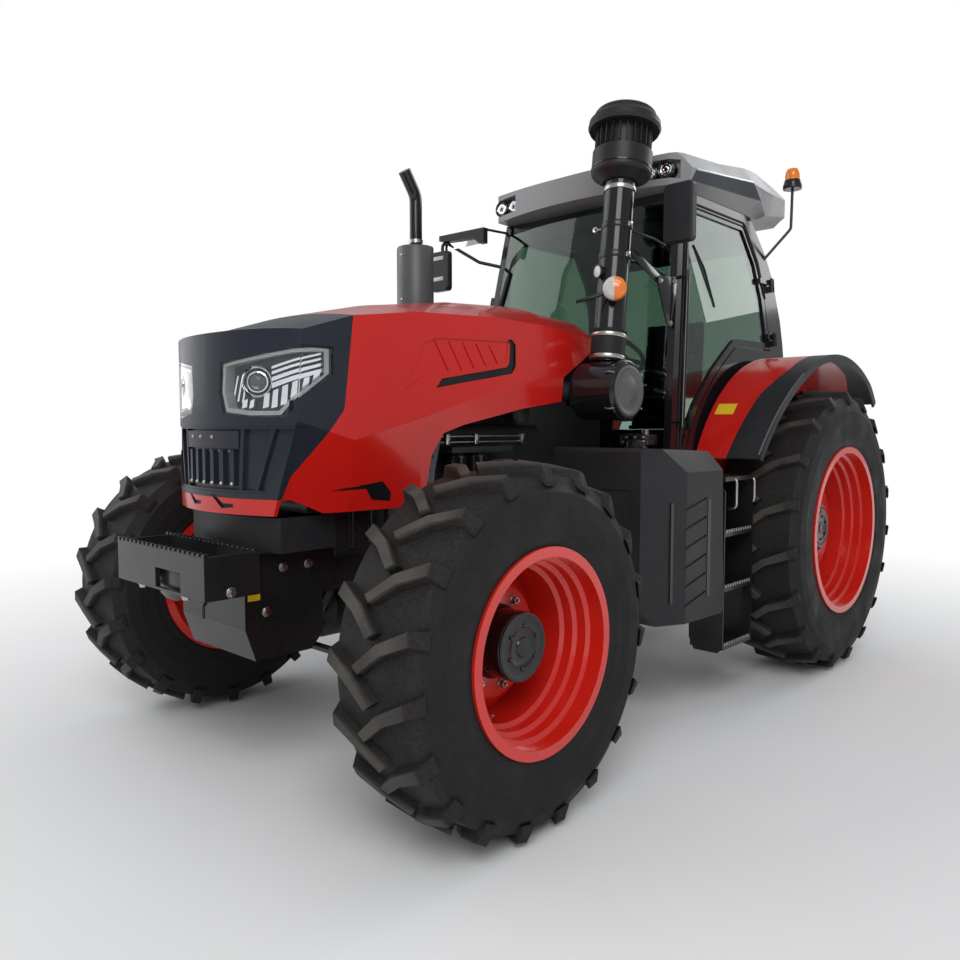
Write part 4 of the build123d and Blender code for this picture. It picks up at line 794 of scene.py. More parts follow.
    @staticmethod
    def mirrored(piece: bpy.types.Object, name: str) -> bpy.types.Object:
        """Copy of a piece for the tractor's other side.

        Args:
            piece: The piece.
            name: Name of the copy.

        Returns:
            The copy.
        """
        twin = piece.copy()
        twin.data = piece.data.copy()
        bpy.context.scene.collection.objects.link(twin)
        twin.scale.x = -1.0
        Bench.pick(twin)
        Bench.named(name)
        bpy.ops.object.transform_apply(location=True, rotation=True, scale=True)
        Bench.edit(twin)
        Bench.close()
        return twin

    @staticmethod
    def patch(name: str, outline: Outline, facing: Facing, start: float, target: str,
              lift: float = 0.0008, thick: float = 0.0015, cuts: int = 3,
              shrink: float = 0.0) -> bpy.types.Object:
        """Thin sheet that lies on a CAD node under an outline.

        Args:
            name: Name of the piece.
            outline: Corners in the plane of the facing.
            facing: Plane of the outline; the sheet is dropped on the node along the third axis.
            start: Where the sheet starts along that axis, outside the node.
            target: Name of the node.
            lift: Distance of the sheet from the node.
            thick: Thickness of the sheet.
            cuts: How finely the sheet is divided to follow the surface.
            shrink: How far the sheet's edge stays inside the outline.

        Returns:
            The piece.
        """
        piece = Bench.face(name, outline, facing, start)
        Bench.edit(piece)
        if shrink:
            bpy.ops.mesh.inset(thickness=shrink, use_even_offset=False)
            bpy.ops.mesh.select_all(action="INVERT")
            bpy.ops.mesh.delete(type="FACE")
            bpy.ops.mesh.select_all(action="SELECT")
        bpy.ops.mesh.quads_convert_to_tris()
        bpy.ops.mesh.subdivide(number_cuts=cuts)
        Bench.close(outwards=False)
        low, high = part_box(target)
        middle = (low[facing.value[2]] + high[facing.value[2]]) / 2
        drop = piece.modifiers.new("drop", "SHRINKWRAP")
        drop.wrap_method = "PROJECT"
        drop.use_project_x, drop.use_project_y, drop.use_project_z = (axis == facing.value[2]
                                                                      for axis in range(3))
        drop.use_negative_direction = start > middle
        drop.use_positive_direction = start <= middle
        drop.offset = lift
        drop.target = bpy.data.objects[target]
        Bench.apply(piece)
        axis = facing.value[2]
        depths = sorted(vertex.co[axis] for vertex in piece.data.vertices
                        if abs(vertex.co[axis] - start) > 1e-4)
        usual = depths[len(depths) // 2] if depths else start
        met = [vertex.co.copy() for vertex in piece.data.vertices
               if abs(vertex.co[axis] - usual) < 0.12]
        for vertex in piece.data.vertices:
            if abs(vertex.co[axis] - usual) >= 0.12 and met:
                across, up = facing.value[0], facing.value[1]
                near = min(met, key=lambda place: (
                    (place[across] - vertex.co[across]) ** 2 + (place[up] - vertex.co[up]) ** 2))
                vertex.co[axis] = near[axis]
        if piece.data.polygons[0].normal[facing.value[2]] * (start - middle) < 0:
            Bench.edit(piece)
            bpy.ops.mesh.flip_normals()
            Bench.close(outwards=False)
        wall = piece.modifiers.new("wall", "SOLIDIFY")
        wall.thickness = thick
        wall.offset = 1.0
        Bench.apply(piece)
        return Bench.settle(piece)

    @staticmethod
    def bolt(name: str, across: float, height: float, washer: float) -> bpy.types.Object:
        """Hexagon bolt head on a washer, at the origin along +Z.

        Args:
            name: Name of the piece.
            across: Distance across the corners.
            height: Height of the head.
            washer: Radius of the washer.

        Returns:
            The bolt.
        """
        rim = across / 2
        head = Bench.turned(name, (0, 0, 0), (0, 0, 1), [
            (0.0, 0.0), (rim, 0.0), (rim, height * 0.82), (rim * 0.86, height), (0.0, height)], 6)
        disc = Bench.turned(name + "_washer", (0, 0, 0), (0, 0, 1), [
            (0.0, 0.0), (washer, 0.0), (washer, height * 0.16), (washer * 0.94, height * 0.22),
            (0.0, height * 0.22)], 20)
        return Bench.joined(name, [head, disc])


@dataclass
class Assembly:
    """A sub-assembly of fine pieces.

    Attributes:
        palette: Where the finishes come from.
        body: Body of the frame that its pieces ride on.
    """

    palette: Palette
    body: str = "chassis"

    def place(self, piece: bpy.types.Object, finish: str, body: str = "") -> bpy.types.Object:
        """Dress a piece and let it ride on its body.

        Args:
            piece: The piece.
            finish: Name of its finish.
            body: Body it rides on, where it isn't the assembly's own.

        Returns:
            The piece.
        """
        self.palette.dress(piece, finish)
        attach(piece, body or self.body)
        LOG.info("made %s, %d faces", piece.name, len(piece.data.polygons))
        return piece

    def place_pair(self, piece: bpy.types.Object, finish: str) -> None:
        """Place a left piece and its copy on the right."""
        twin = Bench.mirrored(piece, piece.name.replace("_left", "") + "_right")
        self.place(piece, finish)
        self.place(twin, finish)


# ---------------------------------------------------------------- wheels


@dataclass
class Wheel(Assembly):
    """Bolts, hub cap and valve of one wheel.

    Attributes:
        name: Axle and side, as in front_left.
        side: 1 on the tractor's left, -1 on its right.
        axle: Place of the wheel's axis, as (y, z).
        plate_x: Outer face of the bolted disc, outwards from the tractor's middle.
        cap_x: Outer face of the hub's cap.
        cap_radius: Radius of the cap.
        bolt_ring: Radius of the wheel bolts' circle.
        bolt_count: Number of wheel bolts.
        seat_radius: Radius of the rim's seat, where the valve stands.
        valve_x: Where the valve stands, outwards from the tractor's middle.
    """

    name: str = ""
    side: int = 1
    axle: tuple[float, float] = (0.0, 0.0)
    plate_x: float = 1.023
    cap_x: float = 1.155
    cap_radius: float = 0.125
    bolt_ring: float = 0.172
    bolt_count: int = 8
    seat_radius: float = 0.30
    valve_x: float = 1.10

    def around(self, radius: float, count: int, x: float, turn: float = 0.0) -> list[Matrix]:
        """Placements round the axis, each facing outwards.

        Args:
            radius: Radius of the circle.
            count: Number of placements.
            x: Distance from the tractor's middle.
            turn: Turn of the first one, in degrees.

        Returns:
            The placements.
        """
        places = []
        for index in range(count):
            angle = math.radians(turn + 360.0 * index / count)
            centre = (self.side * x, self.axle[0] + radius * math.cos(angle),
                      self.axle[1] + radius * math.sin(angle))
            places.append(Bench.aimed(centre, (self.side, 0, 0)))
        return places

    def build(self) -> None:
        """Make all pieces of the wheel."""
        self.body = f"wheel_{self.name}"
        self.bolts()
        self.cap()
        self.valve()

    def bolts(self) -> None:
        """Bolts of the disc, each with its bare washer."""
        master = Bench.bolt("bolt", 0.034, 0.020, 0.021)
        stud = Bench.turned("stud", (0, 0, 0), (0, 0, 1), [
            (0, 0.018), (0.0075, 0.018), (0.0075, 0.028), (0.006, 0.031), (0, 0.031)], 12)
        master = Bench.joined("bolt", [master, stud])
        bolts = Bench.copies(f"wheel_bolts_{self.name}", master,
                             self.around(self.bolt_ring, self.bolt_count, self.plate_x, 10))
        self.place(bolts, "zinc")

    def cap(self) -> None:
        """Black cover over the hub, with its ring of small screws."""
        edge = self.cap_radius
        disc = Bench.turned(f"hub_cap_{self.name}", (self.side * self.cap_x, *self.axle),
                            (self.side, 0, 0), [
            (0.0, -0.001), (edge + 0.003, -0.001), (edge + 0.002, 0.003), (edge - 0.010, 0.004),
            (edge - 0.014, 0.002), (edge * 0.62, 0.0045), (edge * 0.58, 0.0015),
            (edge * 0.30, 0.0015), (edge * 0.27, 0.006), (edge * 0.12, 0.007), (0.0, 0.007)], 48)
        self.place(disc, "gloss_black")
        screw = Bench.bolt("screw", 0.016, 0.007, 0.009)
        screws = Bench.copies(f"hub_screws_{self.name}", screw,
                              self.around(edge - 0.046, 6, self.cap_x + 0.003, 25))
        self.place(screws, "plate_black")
        skirt, reach = edge + 0.004, self.cap_x - self.plate_x
        collar = Bench.turned(f"hub_collar_{self.name}", (self.side * self.plate_x, *self.axle),
                              (self.side, 0, 0), [
            (edge - 0.006, 0.0), (skirt + 0.012, 0.0), (skirt + 0.012, 0.006), (skirt, 0.010),
            (skirt, reach - 0.006), (edge - 0.004, reach + 0.001), (edge - 0.006, reach)], 64)
        self.place(collar, "gloss_black")

    def valve(self) -> None:
        """Valve stem on the rim."""
        foot = self.seat_radius
        stem = Bench.turned("valve", (0, 0, 0), (0, 0, 1), [
            (0, -0.010), (0.009, -0.010), (0.009, 0.006), (0.0052, 0.010), (0.0052, 0.030),
            (0.0066, 0.031), (0.0066, 0.044), (0.005, 0.046), (0, 0.046)], 16)
        angle = math.radians(-118)
        centre = (self.side * self.valve_x, self.axle[0] + foot * math.cos(angle),
                  self.axle[1] + foot * math.sin(angle))
        inwards = (0.5 * self.side, -math.cos(angle), -math.sin(angle))
        self.place(Bench.copies(f"valve_{self.name}", stem, [Bench.aimed(centre, inwards)]), "zinc")


# ---------------------------------------------------------------- nose


def surface(node: str, start: Point, direction: Point) -> Vector:
    """Point where a line meets a CAD node.

    Args:
        node: Name of the node.
        start: Where the line starts.
        direction: Direction of the line.

    Returns:
        The first point met, or the start where nothing is met.
    """
    hit, place, _, _ = bpy.data.objects[node].ray_cast(Vector(start), Vector(direction))
    return place if hit else Vector(start)


@dataclass
class Nose(Assembly):
    """Inside of the headlights, and the screws of the grille.

    Places on the nose are given as an angle round an upright line behind it and a height, so that
    the pieces follow the lens round the corner.

    Attributes:
        pivot_y: Y of the upright line.
        lens: Outline of the left lens, as (degrees, z).
        setback: Distance of the bezel behind the lens's outside.
        depth: Distance of the dark back behind the lens's outside.
        lamp_z: Height of the projector's middle.
    """

    body: str = "hood"
    pivot_y: float = -1.75
    lamp_z: float = 1.664
    lens: Outline = field(default_factory=lambda: [
        (13.8, 1.624), (14.9, 1.735), (35.8, 1.763), (49.8, 1.783), (64.2, 1.797), (64.2, 1.697),
        (51.3, 1.599), (45.0, 1.536), (30.7, 1.536), (16.4, 1.550)])
    setback: float = 0.013
    depth: float = 0.070

    def build(self) -> None:
        """Make all pieces of the nose."""
        self.headlight()
        self.screws()

    def skin(self, degrees: float, z: float, back: float) -> Vector:
        """Point behind the nose's outside.

        Args:
            degrees: Angle from straight ahead, positive to the left.
            z: Height.
            back: Distance behind the outside, towards the upright line.

        Returns:
            The point.
        """
        turn = math.radians(degrees)
        out = Vector((math.sin(turn), -math.cos(turn), 0.0))
        pivot = Vector((0.0, self.pivot_y, z))
        far = 0.0
        for step in range(14):
            low = pivot - Vector((0.0, 0.0, 0.01 * step))
            for node in ("headlights", "nose_mask", "hood_shell"):
                reach = (surface(node, low + out * 1.2, -out) - low).dot(out)
                if 0.25 < reach < 0.75:
                    far = max(far, reach)
            if far:
                break
        return pivot + out * ((far or 0.5) - back)

    def behind(self, name: str, outline: Outline, back: float, thick: float,
               cuts: int = 4) -> bpy.types.Object:
        """Sheet that follows the nose at a distance behind its outside.

        Args:
            name: Name of the piece.
            outline: Corners, as (degrees, z).
            back: Distance behind the outside.
            thick: Thickness, towards the rear.
            cuts: How finely it is divided.

        Returns:
            The piece.
        """
        piece = Bench.face(name, outline, Facing.FRONT, 0.0)
        Bench.edit(piece)
        bpy.ops.mesh.quads_convert_to_tris()
        bpy.ops.mesh.subdivide(number_cuts=cuts)
        Bench.close(outwards=False)
        for vertex in piece.data.vertices:
            vertex.co = self.skin(vertex.co.x, vertex.co.z, back)
        Bench.edit(piece)
        bpy.ops.mesh.extrude_region_move()
        for vertex in bmesh.from_edit_mesh(piece.data).verts:
            if vertex.select:
                vertex.co += (Vector((0.0, self.pivot_y,
                                      vertex.co.z)) - vertex.co).normalized() * thick
        bmesh.update_edit_mesh(piece.data)
        Bench.close()
        return Bench.settle(piece)

    def headlight(self) -> None:
        """Bezel, projector, bars and reflectors behind the left lens, mirrored to the right."""
        outline = self.lens
        count = len(outline)
        self.place_pair(self.behind("lamp_back_left", outline, self.depth, 0.004, 8), "lamp_dark")
        middle = (36.0, self.lamp_z)
        inner = [(turn + (middle[0] - turn) * 0.075, z + (middle[1] - z) * 0.13)
                 for turn, z in outline]
        frame = []
        for index, start in enumerate(outline):
            end, near, far = outline[(index + 1) % count], inner[index], inner[(index + 1) % count]
            frame.append(self.behind("edge", [start, end, far, near], self.setback, 0.050, 2))
        self.place_pair(Bench.joined("lamp_bezel_left", frame), "lamp_bezel")
        self.projector()
        self.bars()

    def projector(self) -> None:
        """Round projector with its chrome ring and glass ball, and the bright arcs beside it."""
        place = self.skin(33.0, self.lamp_z, 0.050)
        aim = (0.70, -0.71, 0.0)
        radius = 0.060
        ring = Bench.turned("projector_ring_left", tuple(place), aim, [
            (radius - 0.008, 0.0), (radius, 0.0), (radius + 0.002, 0.026), (radius - 0.002, 0.032),
            (radius - 0.006, 0.028), (radius - 0.012, 0.004)], 48)
        self.place_pair(ring, "chrome")
        bowl = Bench.turned("projector_bowl_left", tuple(place), aim, [
            (0.0, 0.0), (radius - 0.012, 0.004), (radius - 0.017, 0.012), (radius - 0.026, 0.006),
            (0.0, 0.003)], 40)
        self.place_pair(bowl, "lamp_dark")
        hoop = Bench.turned("projector_hoop_left", tuple(place), aim, [
            (radius * 0.60, 0.006), (radius * 0.66, 0.006), (radius * 0.68, 0.016),
            (radius * 0.60, 0.018)], 40)
        self.place_pair(hoop, "chrome")
        ball = Bench.turned("projector_ball_left", tuple(place), aim, [
            (0.0, 0.004), (radius * 0.58, 0.006), (radius * 0.52, 0.016), (radius * 0.36, 0.025),
            (radius * 0.18, 0.029), (0.0, 0.030)], 32)
        self.place_pair(ball, "lamp_lens")
        arcs = []
        for turn, low, high, lean in ((18.0, 1.600, 1.690, 3.4), (21.0, 1.590, 1.668, 2.6),
                                      (24.0, 1.584, 1.640, 1.6)):
            arcs.append(self.behind("arc", [(turn, low), (turn + 1.2, low),
                                            (turn + lean + 1.0, high),
                                            (turn + lean, high)], 0.036, 0.014, 3))
        self.place_pair(Bench.joined("lamp_arcs_left", arcs), "chrome")

    def bars(self) -> None:
        """Bright bars that run to the lens's tip, and the facets under them."""
        bars = []
        for foot, tip, width in ((1.716, 1.776, 0.005), (1.696, 1.757, 0.006),
                                 (1.672, 1.735, 0.008), (1.648, 1.712, 0.010)):
            bars.append(self.behind("bar", [
                (41.0, foot - width), (41.0, foot + width), (62.5, tip + width * 0.7),
                (62.5, tip - width * 0.7)], 0.026, 0.018))
        self.place_pair(Bench.joined("lamp_bars_left", bars), "chrome")
        facets = []
        for low, high in ((24.5, 28.2), (28.8, 32.0), (36.2, 39.8), (40.4, 43.8), (44.6, 48.0),
                          (48.8, 52.0), (52.8, 56.0), (56.8, 60.6)):
            foot = 1.562 + max(0.0, low - 43.0) * 0.0068
            top = 1.592 + max(0.0, high - 34.0) * 0.0038
            facets.append(self.behind("facet", [
                (low, foot), (low + 1.0, top), (high, top + 0.008),
                (high - 0.6, foot + 0.006)], 0.030 + 0.006 * (int(low) % 2), 0.014, 2))
        self.place_pair(Bench.joined("lamp_facets_left", facets), "chrome")

    def screws(self) -> None:
        """Small bright screws on the grille."""
        screw = Bench.bolt("screw", 0.012, 0.006, 0.008)
        places = []
        for x, z in ((-0.131, 1.452), (-0.053, 1.452), (0.039, 1.452), (-0.128, 1.396),
                     (-0.064, 1.396), (0.0, 1.396), (0.064, 1.396), (0.128, 1.396), (-0.160, 1.268),
                     (-0.096, 1.268), (-0.032, 1.268), (0.032, 1.268), (0.096, 1.268),
                     (0.160, 1.268)):
            place = surface("grille", (x, -2.6, z), (0, 1, 0))
            places.append(Bench.aimed((x, place.y, z), (0, -1, 0)))
        self.place(Bench.copies("grille_screws", screw, places), "zinc")


# ---------------------------------------------------------------- hood


@dataclass
class Hood(Assembly):
    """Black parts set into the hood's hollows: the vents' black mesh, with painted shade of the
    openings behind it.

    Attributes:
        vent: Outline of the hooked vent, as (y, z).
        scoop: Outline of the pointed scoop, as (y, z).
        slots: Outlines of the slots in the band, as (x, z).
    """

    body: str = "hood"
    vent: Outline = field(default_factory=lambda: [
        (-1.417, 1.661), (-1.381, 1.701), (-0.949, 1.774), (-0.931, 1.795), (-0.914, 1.882),
        (-0.932, 1.905), (-0.896, 1.909), (-0.871, 1.886), (-0.883, 1.782), (-0.913, 1.745)])
    scoop: Outline = field(default_factory=lambda: [
        (-1.930, 1.240), (-1.700, 1.268), (-1.652, 1.220), (-1.657, 1.183), (-1.748, 1.193),
        (-1.779, 1.240)])
    slots: tuple[Outline, ...] = (
        [(-0.172, 1.216), (-0.140, 1.214), (-0.100, 1.192), (-0.050, 1.193), (-0.052, 1.179),
         (-0.112, 1.174)],
        [(0.033, 1.222), (0.066, 1.218), (0.112, 1.191), (0.172, 1.191), (0.174, 1.178),
         (0.106, 1.170)])

    def build(self) -> None:
        """Make all pieces of the hood."""
        # The black sheets in the vent, scoop and slot hollows are partly the vents' black mesh and
        # partly painted shade of the openings behind it.
        self.place_pair(Bench.patch("hood_vent_left", self.vent, Facing.SIDE, 0.60, "hood_shell",
                                    lift=0.001, thick=0.005, cuts=3, shrink=0.0016), "vent_black")
        self.place_pair(Bench.patch("hood_scoop_left", self.scoop, Facing.SIDE, 0.60, "hood_shell",
                                    lift=0.001, thick=0.004, cuts=3, shrink=0.0016), "vent_black")
        for index, slot in enumerate(self.slots):
            self.place(Bench.patch(f"band_slot_{index}", slot, Facing.FRONT, -2.60, "hood_shell",
                                   lift=0.001, thick=0.004, cuts=2, shrink=0.0012), "vent_black")


# ---------------------------------------------------------------- front end


@dataclass
class Front(Assembly):
    """Fasteners, hanging plate and blank label of the bracket and the lower plate.

    Attributes:
        bracket_y: Front face of the ballast bracket.
        housing_circle: Radius of the bolt circle on the axle's housing.
        knuckle_circle: Half lengths of the bolt oval on a knuckle, along Y and Z.
    """

    bracket_y: float = -2.450
    housing_circle: float = 0.118
    knuckle_circle: tuple[float, float] = (0.134, 0.094)

    def build(self) -> None:
        """Make all pieces of the front end."""
        self.bolts()
        self.latch_plate()
        self.label()
        self.ledge()
        self.inner_guards()
        self.axle_details()

    def bolts(self) -> None:
        """Bare bolts of the bracket and of the plate's corner."""
        master = Bench.bolt("bolt", 0.030, 0.018, 0.020)
        places = []
        for side in (1, -1):
            places.append(Bench.aimed((side * 0.180, self.bracket_y + 0.022, 0.862), (0, 0, -1)))
            places.append(Bench.aimed((side * 0.360, self.bracket_y + 0.105, 0.884), (side, 0, 0)))
        for x, z in ((0.251, 0.760), (-0.251, 0.760)):
            places.append(Bench.aimed((x, -2.130, z), (1 if x > 0 else -1, 0, 0)))
        for y in (-2.05, -1.93):
            for side in (1, -1):
                place = surface("front_frame", (side * 0.6, y, 0.93), (-side, 0, 0))
                places.append(Bench.aimed(tuple(place), (side, 0, 0)))
        self.place(Bench.copies("front_bolts", master, places), "zinc")

    def latch_plate(self) -> None:
        """Toothed plate behind the bracket's window, with its pin."""
        plate = Bench.prism("latch_plate", [
            (-0.040, 0.842), (-0.040, 0.948), (0.196, 0.948), (0.196, 0.906), (0.150, 0.880),
            (0.150, 0.842), (0.090, 0.826),
            (0.010, 0.826)], Facing.FRONT, self.bracket_y + 0.026, 0.010, 0.002)
        self.place(plate, "plate_black")
        lip = Bench.rod("window_lip", [(-0.020, self.bracket_y + 0.005, 0.868),
                                       (0.176, self.bracket_y + 0.005, 0.868)], 0.004)
        self.place(lip, "worn_edge")
        pin = Bench.rod("bracket_pin", [(0.330, self.bracket_y + 0.010, 0.858),
                                        (0.330, self.bracket_y + 0.010, 0.800)], 0.006)
        head = Bench.rod("bracket_pin_head", [(0.315, self.bracket_y + 0.010, 0.856),
                                              (0.345, self.bracket_y + 0.010, 0.856)], 0.008)
        bar = Bench.rod("bracket_pin_bar", [(0.330, self.bracket_y + 0.020, 0.850),
                                            (0.330, self.bracket_y + 0.010, 0.850)], 0.006)
        self.place(Bench.joined("bracket_pin", [pin, head, bar]), "plate_black")

    def label(self) -> None:
        """Blank yellow plate on the corner of the lower plate."""
        place = surface("front_frame", (0.7, -2.185, 0.860), (-1, 0, 0))
        label = Bench.block("front_label", (place.x - 0.0005, -2.212, 0.812),
                            (place.x + 0.0018, -2.158, 0.905), 0.0006, 1)
        self.place(label, "label_yellow")

    def ledge(self) -> None:
        """Flat ledge between the bracket and the apron, with its folded edge."""
        plate = Bench.prism("bracket_ledge", [
            (-0.300, -2.236), (0.300, -2.236), (0.300, -2.120), (0.240, -2.060), (-0.240, -2.060),
            (-0.300, -2.120)], Facing.TOP, 1.001, 0.008, 0.002)
        self.place(plate, "plate_black")
        edge = Bench.rod("bracket_edge", [(-0.352, -2.232, 1.026), (0.352, -2.232, 1.026)], 0.004)
        front = Bench.rod("bracket_front_edge", [(-0.352, self.bracket_y + 0.008, 1.0255),
                                                 (0.352, self.bracket_y + 0.008, 1.0255)], 0.003)
        self.place(Bench.joined("bracket_edges", [edge, front]), "worn_edge")

    def inner_guards(self) -> None:
        """Dark side guards between the hood's lower edge and the frame."""
        guard = Bench.prism("side_guard_left", [
            (-1.862, 0.960), (-1.862, 1.240), (-1.480, 1.240), (-1.430, 1.320), (-1.380, 1.320),
            (-1.380, 0.960)], Facing.SIDE, 0.330, 0.012, 0.003)
        ribs = []
        for y in (-1.780, -1.680, -1.580, -1.480):
            ribs.append(Bench.block("rib", (0.340, y - 0.012, 0.985), (0.350, y + 0.012, 1.215),
                                    0.004))
        self.place_pair(Bench.joined("side_guard_left", [guard, *ribs]), "plate_black")
        shroud = Bench.prism("fan_shroud", [
            (-0.300, 1.040), (-0.330, 1.080), (-0.330, 1.560), (-0.290, 1.600), (0.290, 1.600),
            (0.330, 1.560), (0.330, 1.080), (0.300, 1.040)], Facing.FRONT, -1.872, 0.060, 0.006)
        self.place(shroud, "plate_black")

    def axle_details(self) -> None:
        """Bolts of the front axle's housing and caps of the kingpins."""
        master = Bench.bolt("bolt", 0.024, 0.014, 0.015)
        places = []
        for index in range(10):
            turn = math.tau * index / 10
            hit = surface("front_axle", (self.housing_circle * math.cos(turn), -2.1,
                                         FRONT_AXLE[1] + self.housing_circle * math.sin(turn)),
                          (0, 1, 0))
            places.append(Bench.aimed(tuple(hit), (0, -1, 0)))
        self.place(Bench.copies("axle_bolts", master, places), "cast_black")
        for side, tag in ((1, "left"), (-1, "right")):
            top = (side * 0.760, FRONT_AXLE[0], 0.808)
            cap = Bench.turned(f"kingpin_cap_{tag}", top, (0, 0, 1), [
                (0.0, -0.001), (0.050, -0.001), (0.050, 0.006), (0.040, 0.016), (0.014, 0.018),
                (0.012, 0.026), (0.0, 0.026)], 32)
            self.place(cap, "cast_black", f"knuckle_{tag}")
            flange = Bench.bolt("bolt", 0.022, 0.012, 0.014)
            circle = []
            for index in range(8):
                turn = math.tau * (index + 0.5) / 8
                hit = surface(f"knuckle_{tag}", (
                    side * 0.90, FRONT_AXLE[0] + self.knuckle_circle[0] * math.cos(turn),
                    FRONT_AXLE[1] + self.knuckle_circle[1] * math.sin(turn)), (-side, 0, 0))
                circle.append(Bench.aimed(tuple(hit), (side, 0, 0)))
            self.place(Bench.copies(f"knuckle_bolts_{tag}", flange, circle), "zinc",
                       f"knuckle_{tag}")


# ---------------------------------------------------------------- engine bay


@dataclass
class EngineBay(Assembly):
    """Pipes, filters and shield that show in the gap under the hood."""

    def build(self) -> None:
        """Make all pieces of the engine bay."""
        self.fuel_rail()
        self.shield()
        self.hoses()
        self.filters()
        self.valves()

    def fuel_rail(self) -> None:
        """Two thin steel pipes with their fittings."""
        pipes = [Bench.rod("pipe", [(0.258, -1.240, z), (0.300, -1.190, z), (0.300, -0.620, z),
                                    (0.258, -0.560, z)], 0.006, 0.03)
                 for z in (1.418, 1.446)]
        self.place(Bench.joined("fuel_pipes", pipes), "zinc")
        fittings = [Bench.block("fitting", (0.286, y - 0.014, 1.406), (0.316, y + 0.014, 1.458),
                                0.004)
                    for y in (-1.180, -0.985, -0.640)]
        self.place(Bench.joined("fuel_fittings", fittings), "zinc")

    def shield(self) -> None:
        """Pierced grey heat shield behind the hood's front corner, its holes drawn as black blocks
        of painted shade.
        """
        plate = Bench.prism("heat_shield", [
            (-1.440, 1.180), (-1.440, 1.330), (-1.395, 1.420), (-1.345, 1.465), (-1.300, 1.465),
            (-1.345, 1.300), (-1.360, 1.180)], Facing.SIDE, 0.392, 0.004, 0.0)
        # Black blocks proud of the plate stand for its holes: painted shade of the space behind.
        slots = []
        for y, z in ((-1.405, 1.240), (-1.390, 1.300), (-1.372, 1.360), (-1.345, 1.415)):
            slots.append(Bench.block("slot", (0.394, y - 0.016, z - 0.006),
                                     (0.3985, y + 0.016, z + 0.006), 0.002))
        self.place(plate, "lid_grey")
        self.place(Bench.joined("shield_slots", slots), "vent_black")
        frame = Bench.block("shield_bracket", (0.330, -1.440, 1.190), (0.392, -1.425, 1.300), 0.003)
        self.place(frame, "plate_black")

    def hoses(self) -> None:
        """Rigid coolant and air pipes with rubber ends."""
        water = Bench.rod("water_pipe", [(0.200, -1.335, 1.495), (0.200, -1.420, 1.560),
                                         (0.150, -1.640, 1.600), (0.150, -1.875, 1.560)],
                          0.032, 0.06, 5)
        air = Bench.rod("air_pipe", [(-0.200, -1.330, 1.500), (-0.220, -1.480, 1.620),
                                     (-0.200, -1.700, 1.660), (-0.190, -1.876, 1.600)],
                        0.040, 0.07, 5)
        turbo = Bench.rod("charge_pipe", [(0.180, -0.900, 1.505), (0.180, -0.880, 1.640),
                                          (0.300, -0.640, 1.690), (0.440, -0.420, 1.676)],
                          0.050, 0.10, 6)
        self.place(Bench.joined("engine_pipes", [water, air, turbo]), "rubber")
        bends = []
        for z in (1.536, 1.560, 1.584):
            bends.append(Bench.rod("injector_pipe", [(0.252, -1.260 + (z - 1.5), 1.470),
                                                     (0.300, -1.200, z), (0.240, -1.050, z + 0.02),
                                                     (0.180, -1.020, 1.502)], 0.005, 0.03))
        self.place(Bench.joined("injector_pipes", bends), "zinc")

    def filters(self) -> None:
        """Upright filters and the cover of the timing gear."""
        for index, (y, radius, top) in enumerate(((-1.120, 0.052, 1.372), (-0.980, 0.052, 1.372),
                                                  (-0.800, 0.046, 1.330))):
            body = Bench.turned(f"filter_{index}", (0.302, y, top - 0.190), (0, 0, 1), [
                (0.0, 0.0), (radius - 0.014, 0.0), (radius, 0.014), (radius, 0.150),
                (radius + 0.003, 0.156), (radius + 0.003, 0.172), (radius - 0.010, 0.178),
                (radius - 0.022, 0.190), (0.0, 0.190)], 32)
            self.place(body, "dark_plastic" if index == 2 else "gloss_black")
        rail = Bench.block("filter_head", (0.238, -1.180, 1.366), (0.340, -0.745, 1.398), 0.006)
        self.place(rail, "engine_grey")
        cover = Bench.prism("valve_cover", [
            (-1.240, 1.498), (-1.220, 1.560), (-0.560, 1.590), (-0.520, 1.560), (-0.500, 1.498)],
                            Facing.SIDE, -0.150, 0.300, 0.012)
        self.place(cover, "engine_grey")
        bright = Bench.turned("alternator", (0.300, -0.660, 1.560), (1, 0, 0), [
            (0.0, -0.060), (0.050, -0.060), (0.064, -0.048), (0.064, 0.020), (0.052, 0.034),
            (0.020, 0.038), (0.0, 0.038)], 28)
        self.place(bright, "exhaust_steel")

    def valves(self) -> None:
        """Row of small bright screws and clips over the tank."""
        screw = Bench.bolt("screw", 0.014, 0.010, 0.010)
        rail = Bench.block("valve_rail", (0.560, -0.110, 1.392), (0.720, 0.010, 1.450), 0.006)
        self.place(rail, "plate_black")
        places = [Bench.aimed((0.575 + 0.026 * index, -0.111, 1.408 + 0.026 * (index % 2)),
                              (0, -1, 0)) for index in range(6)]
        self.place(Bench.copies("valve_screws", screw, places), "zinc")
        clip = Bench.block("valve_clip", (0.690, -0.100, 1.448), (0.716, -0.070, 1.478), 0.003)
        self.place(clip, "zinc")


# ---------------------------------------------------------------- intake and exhaust


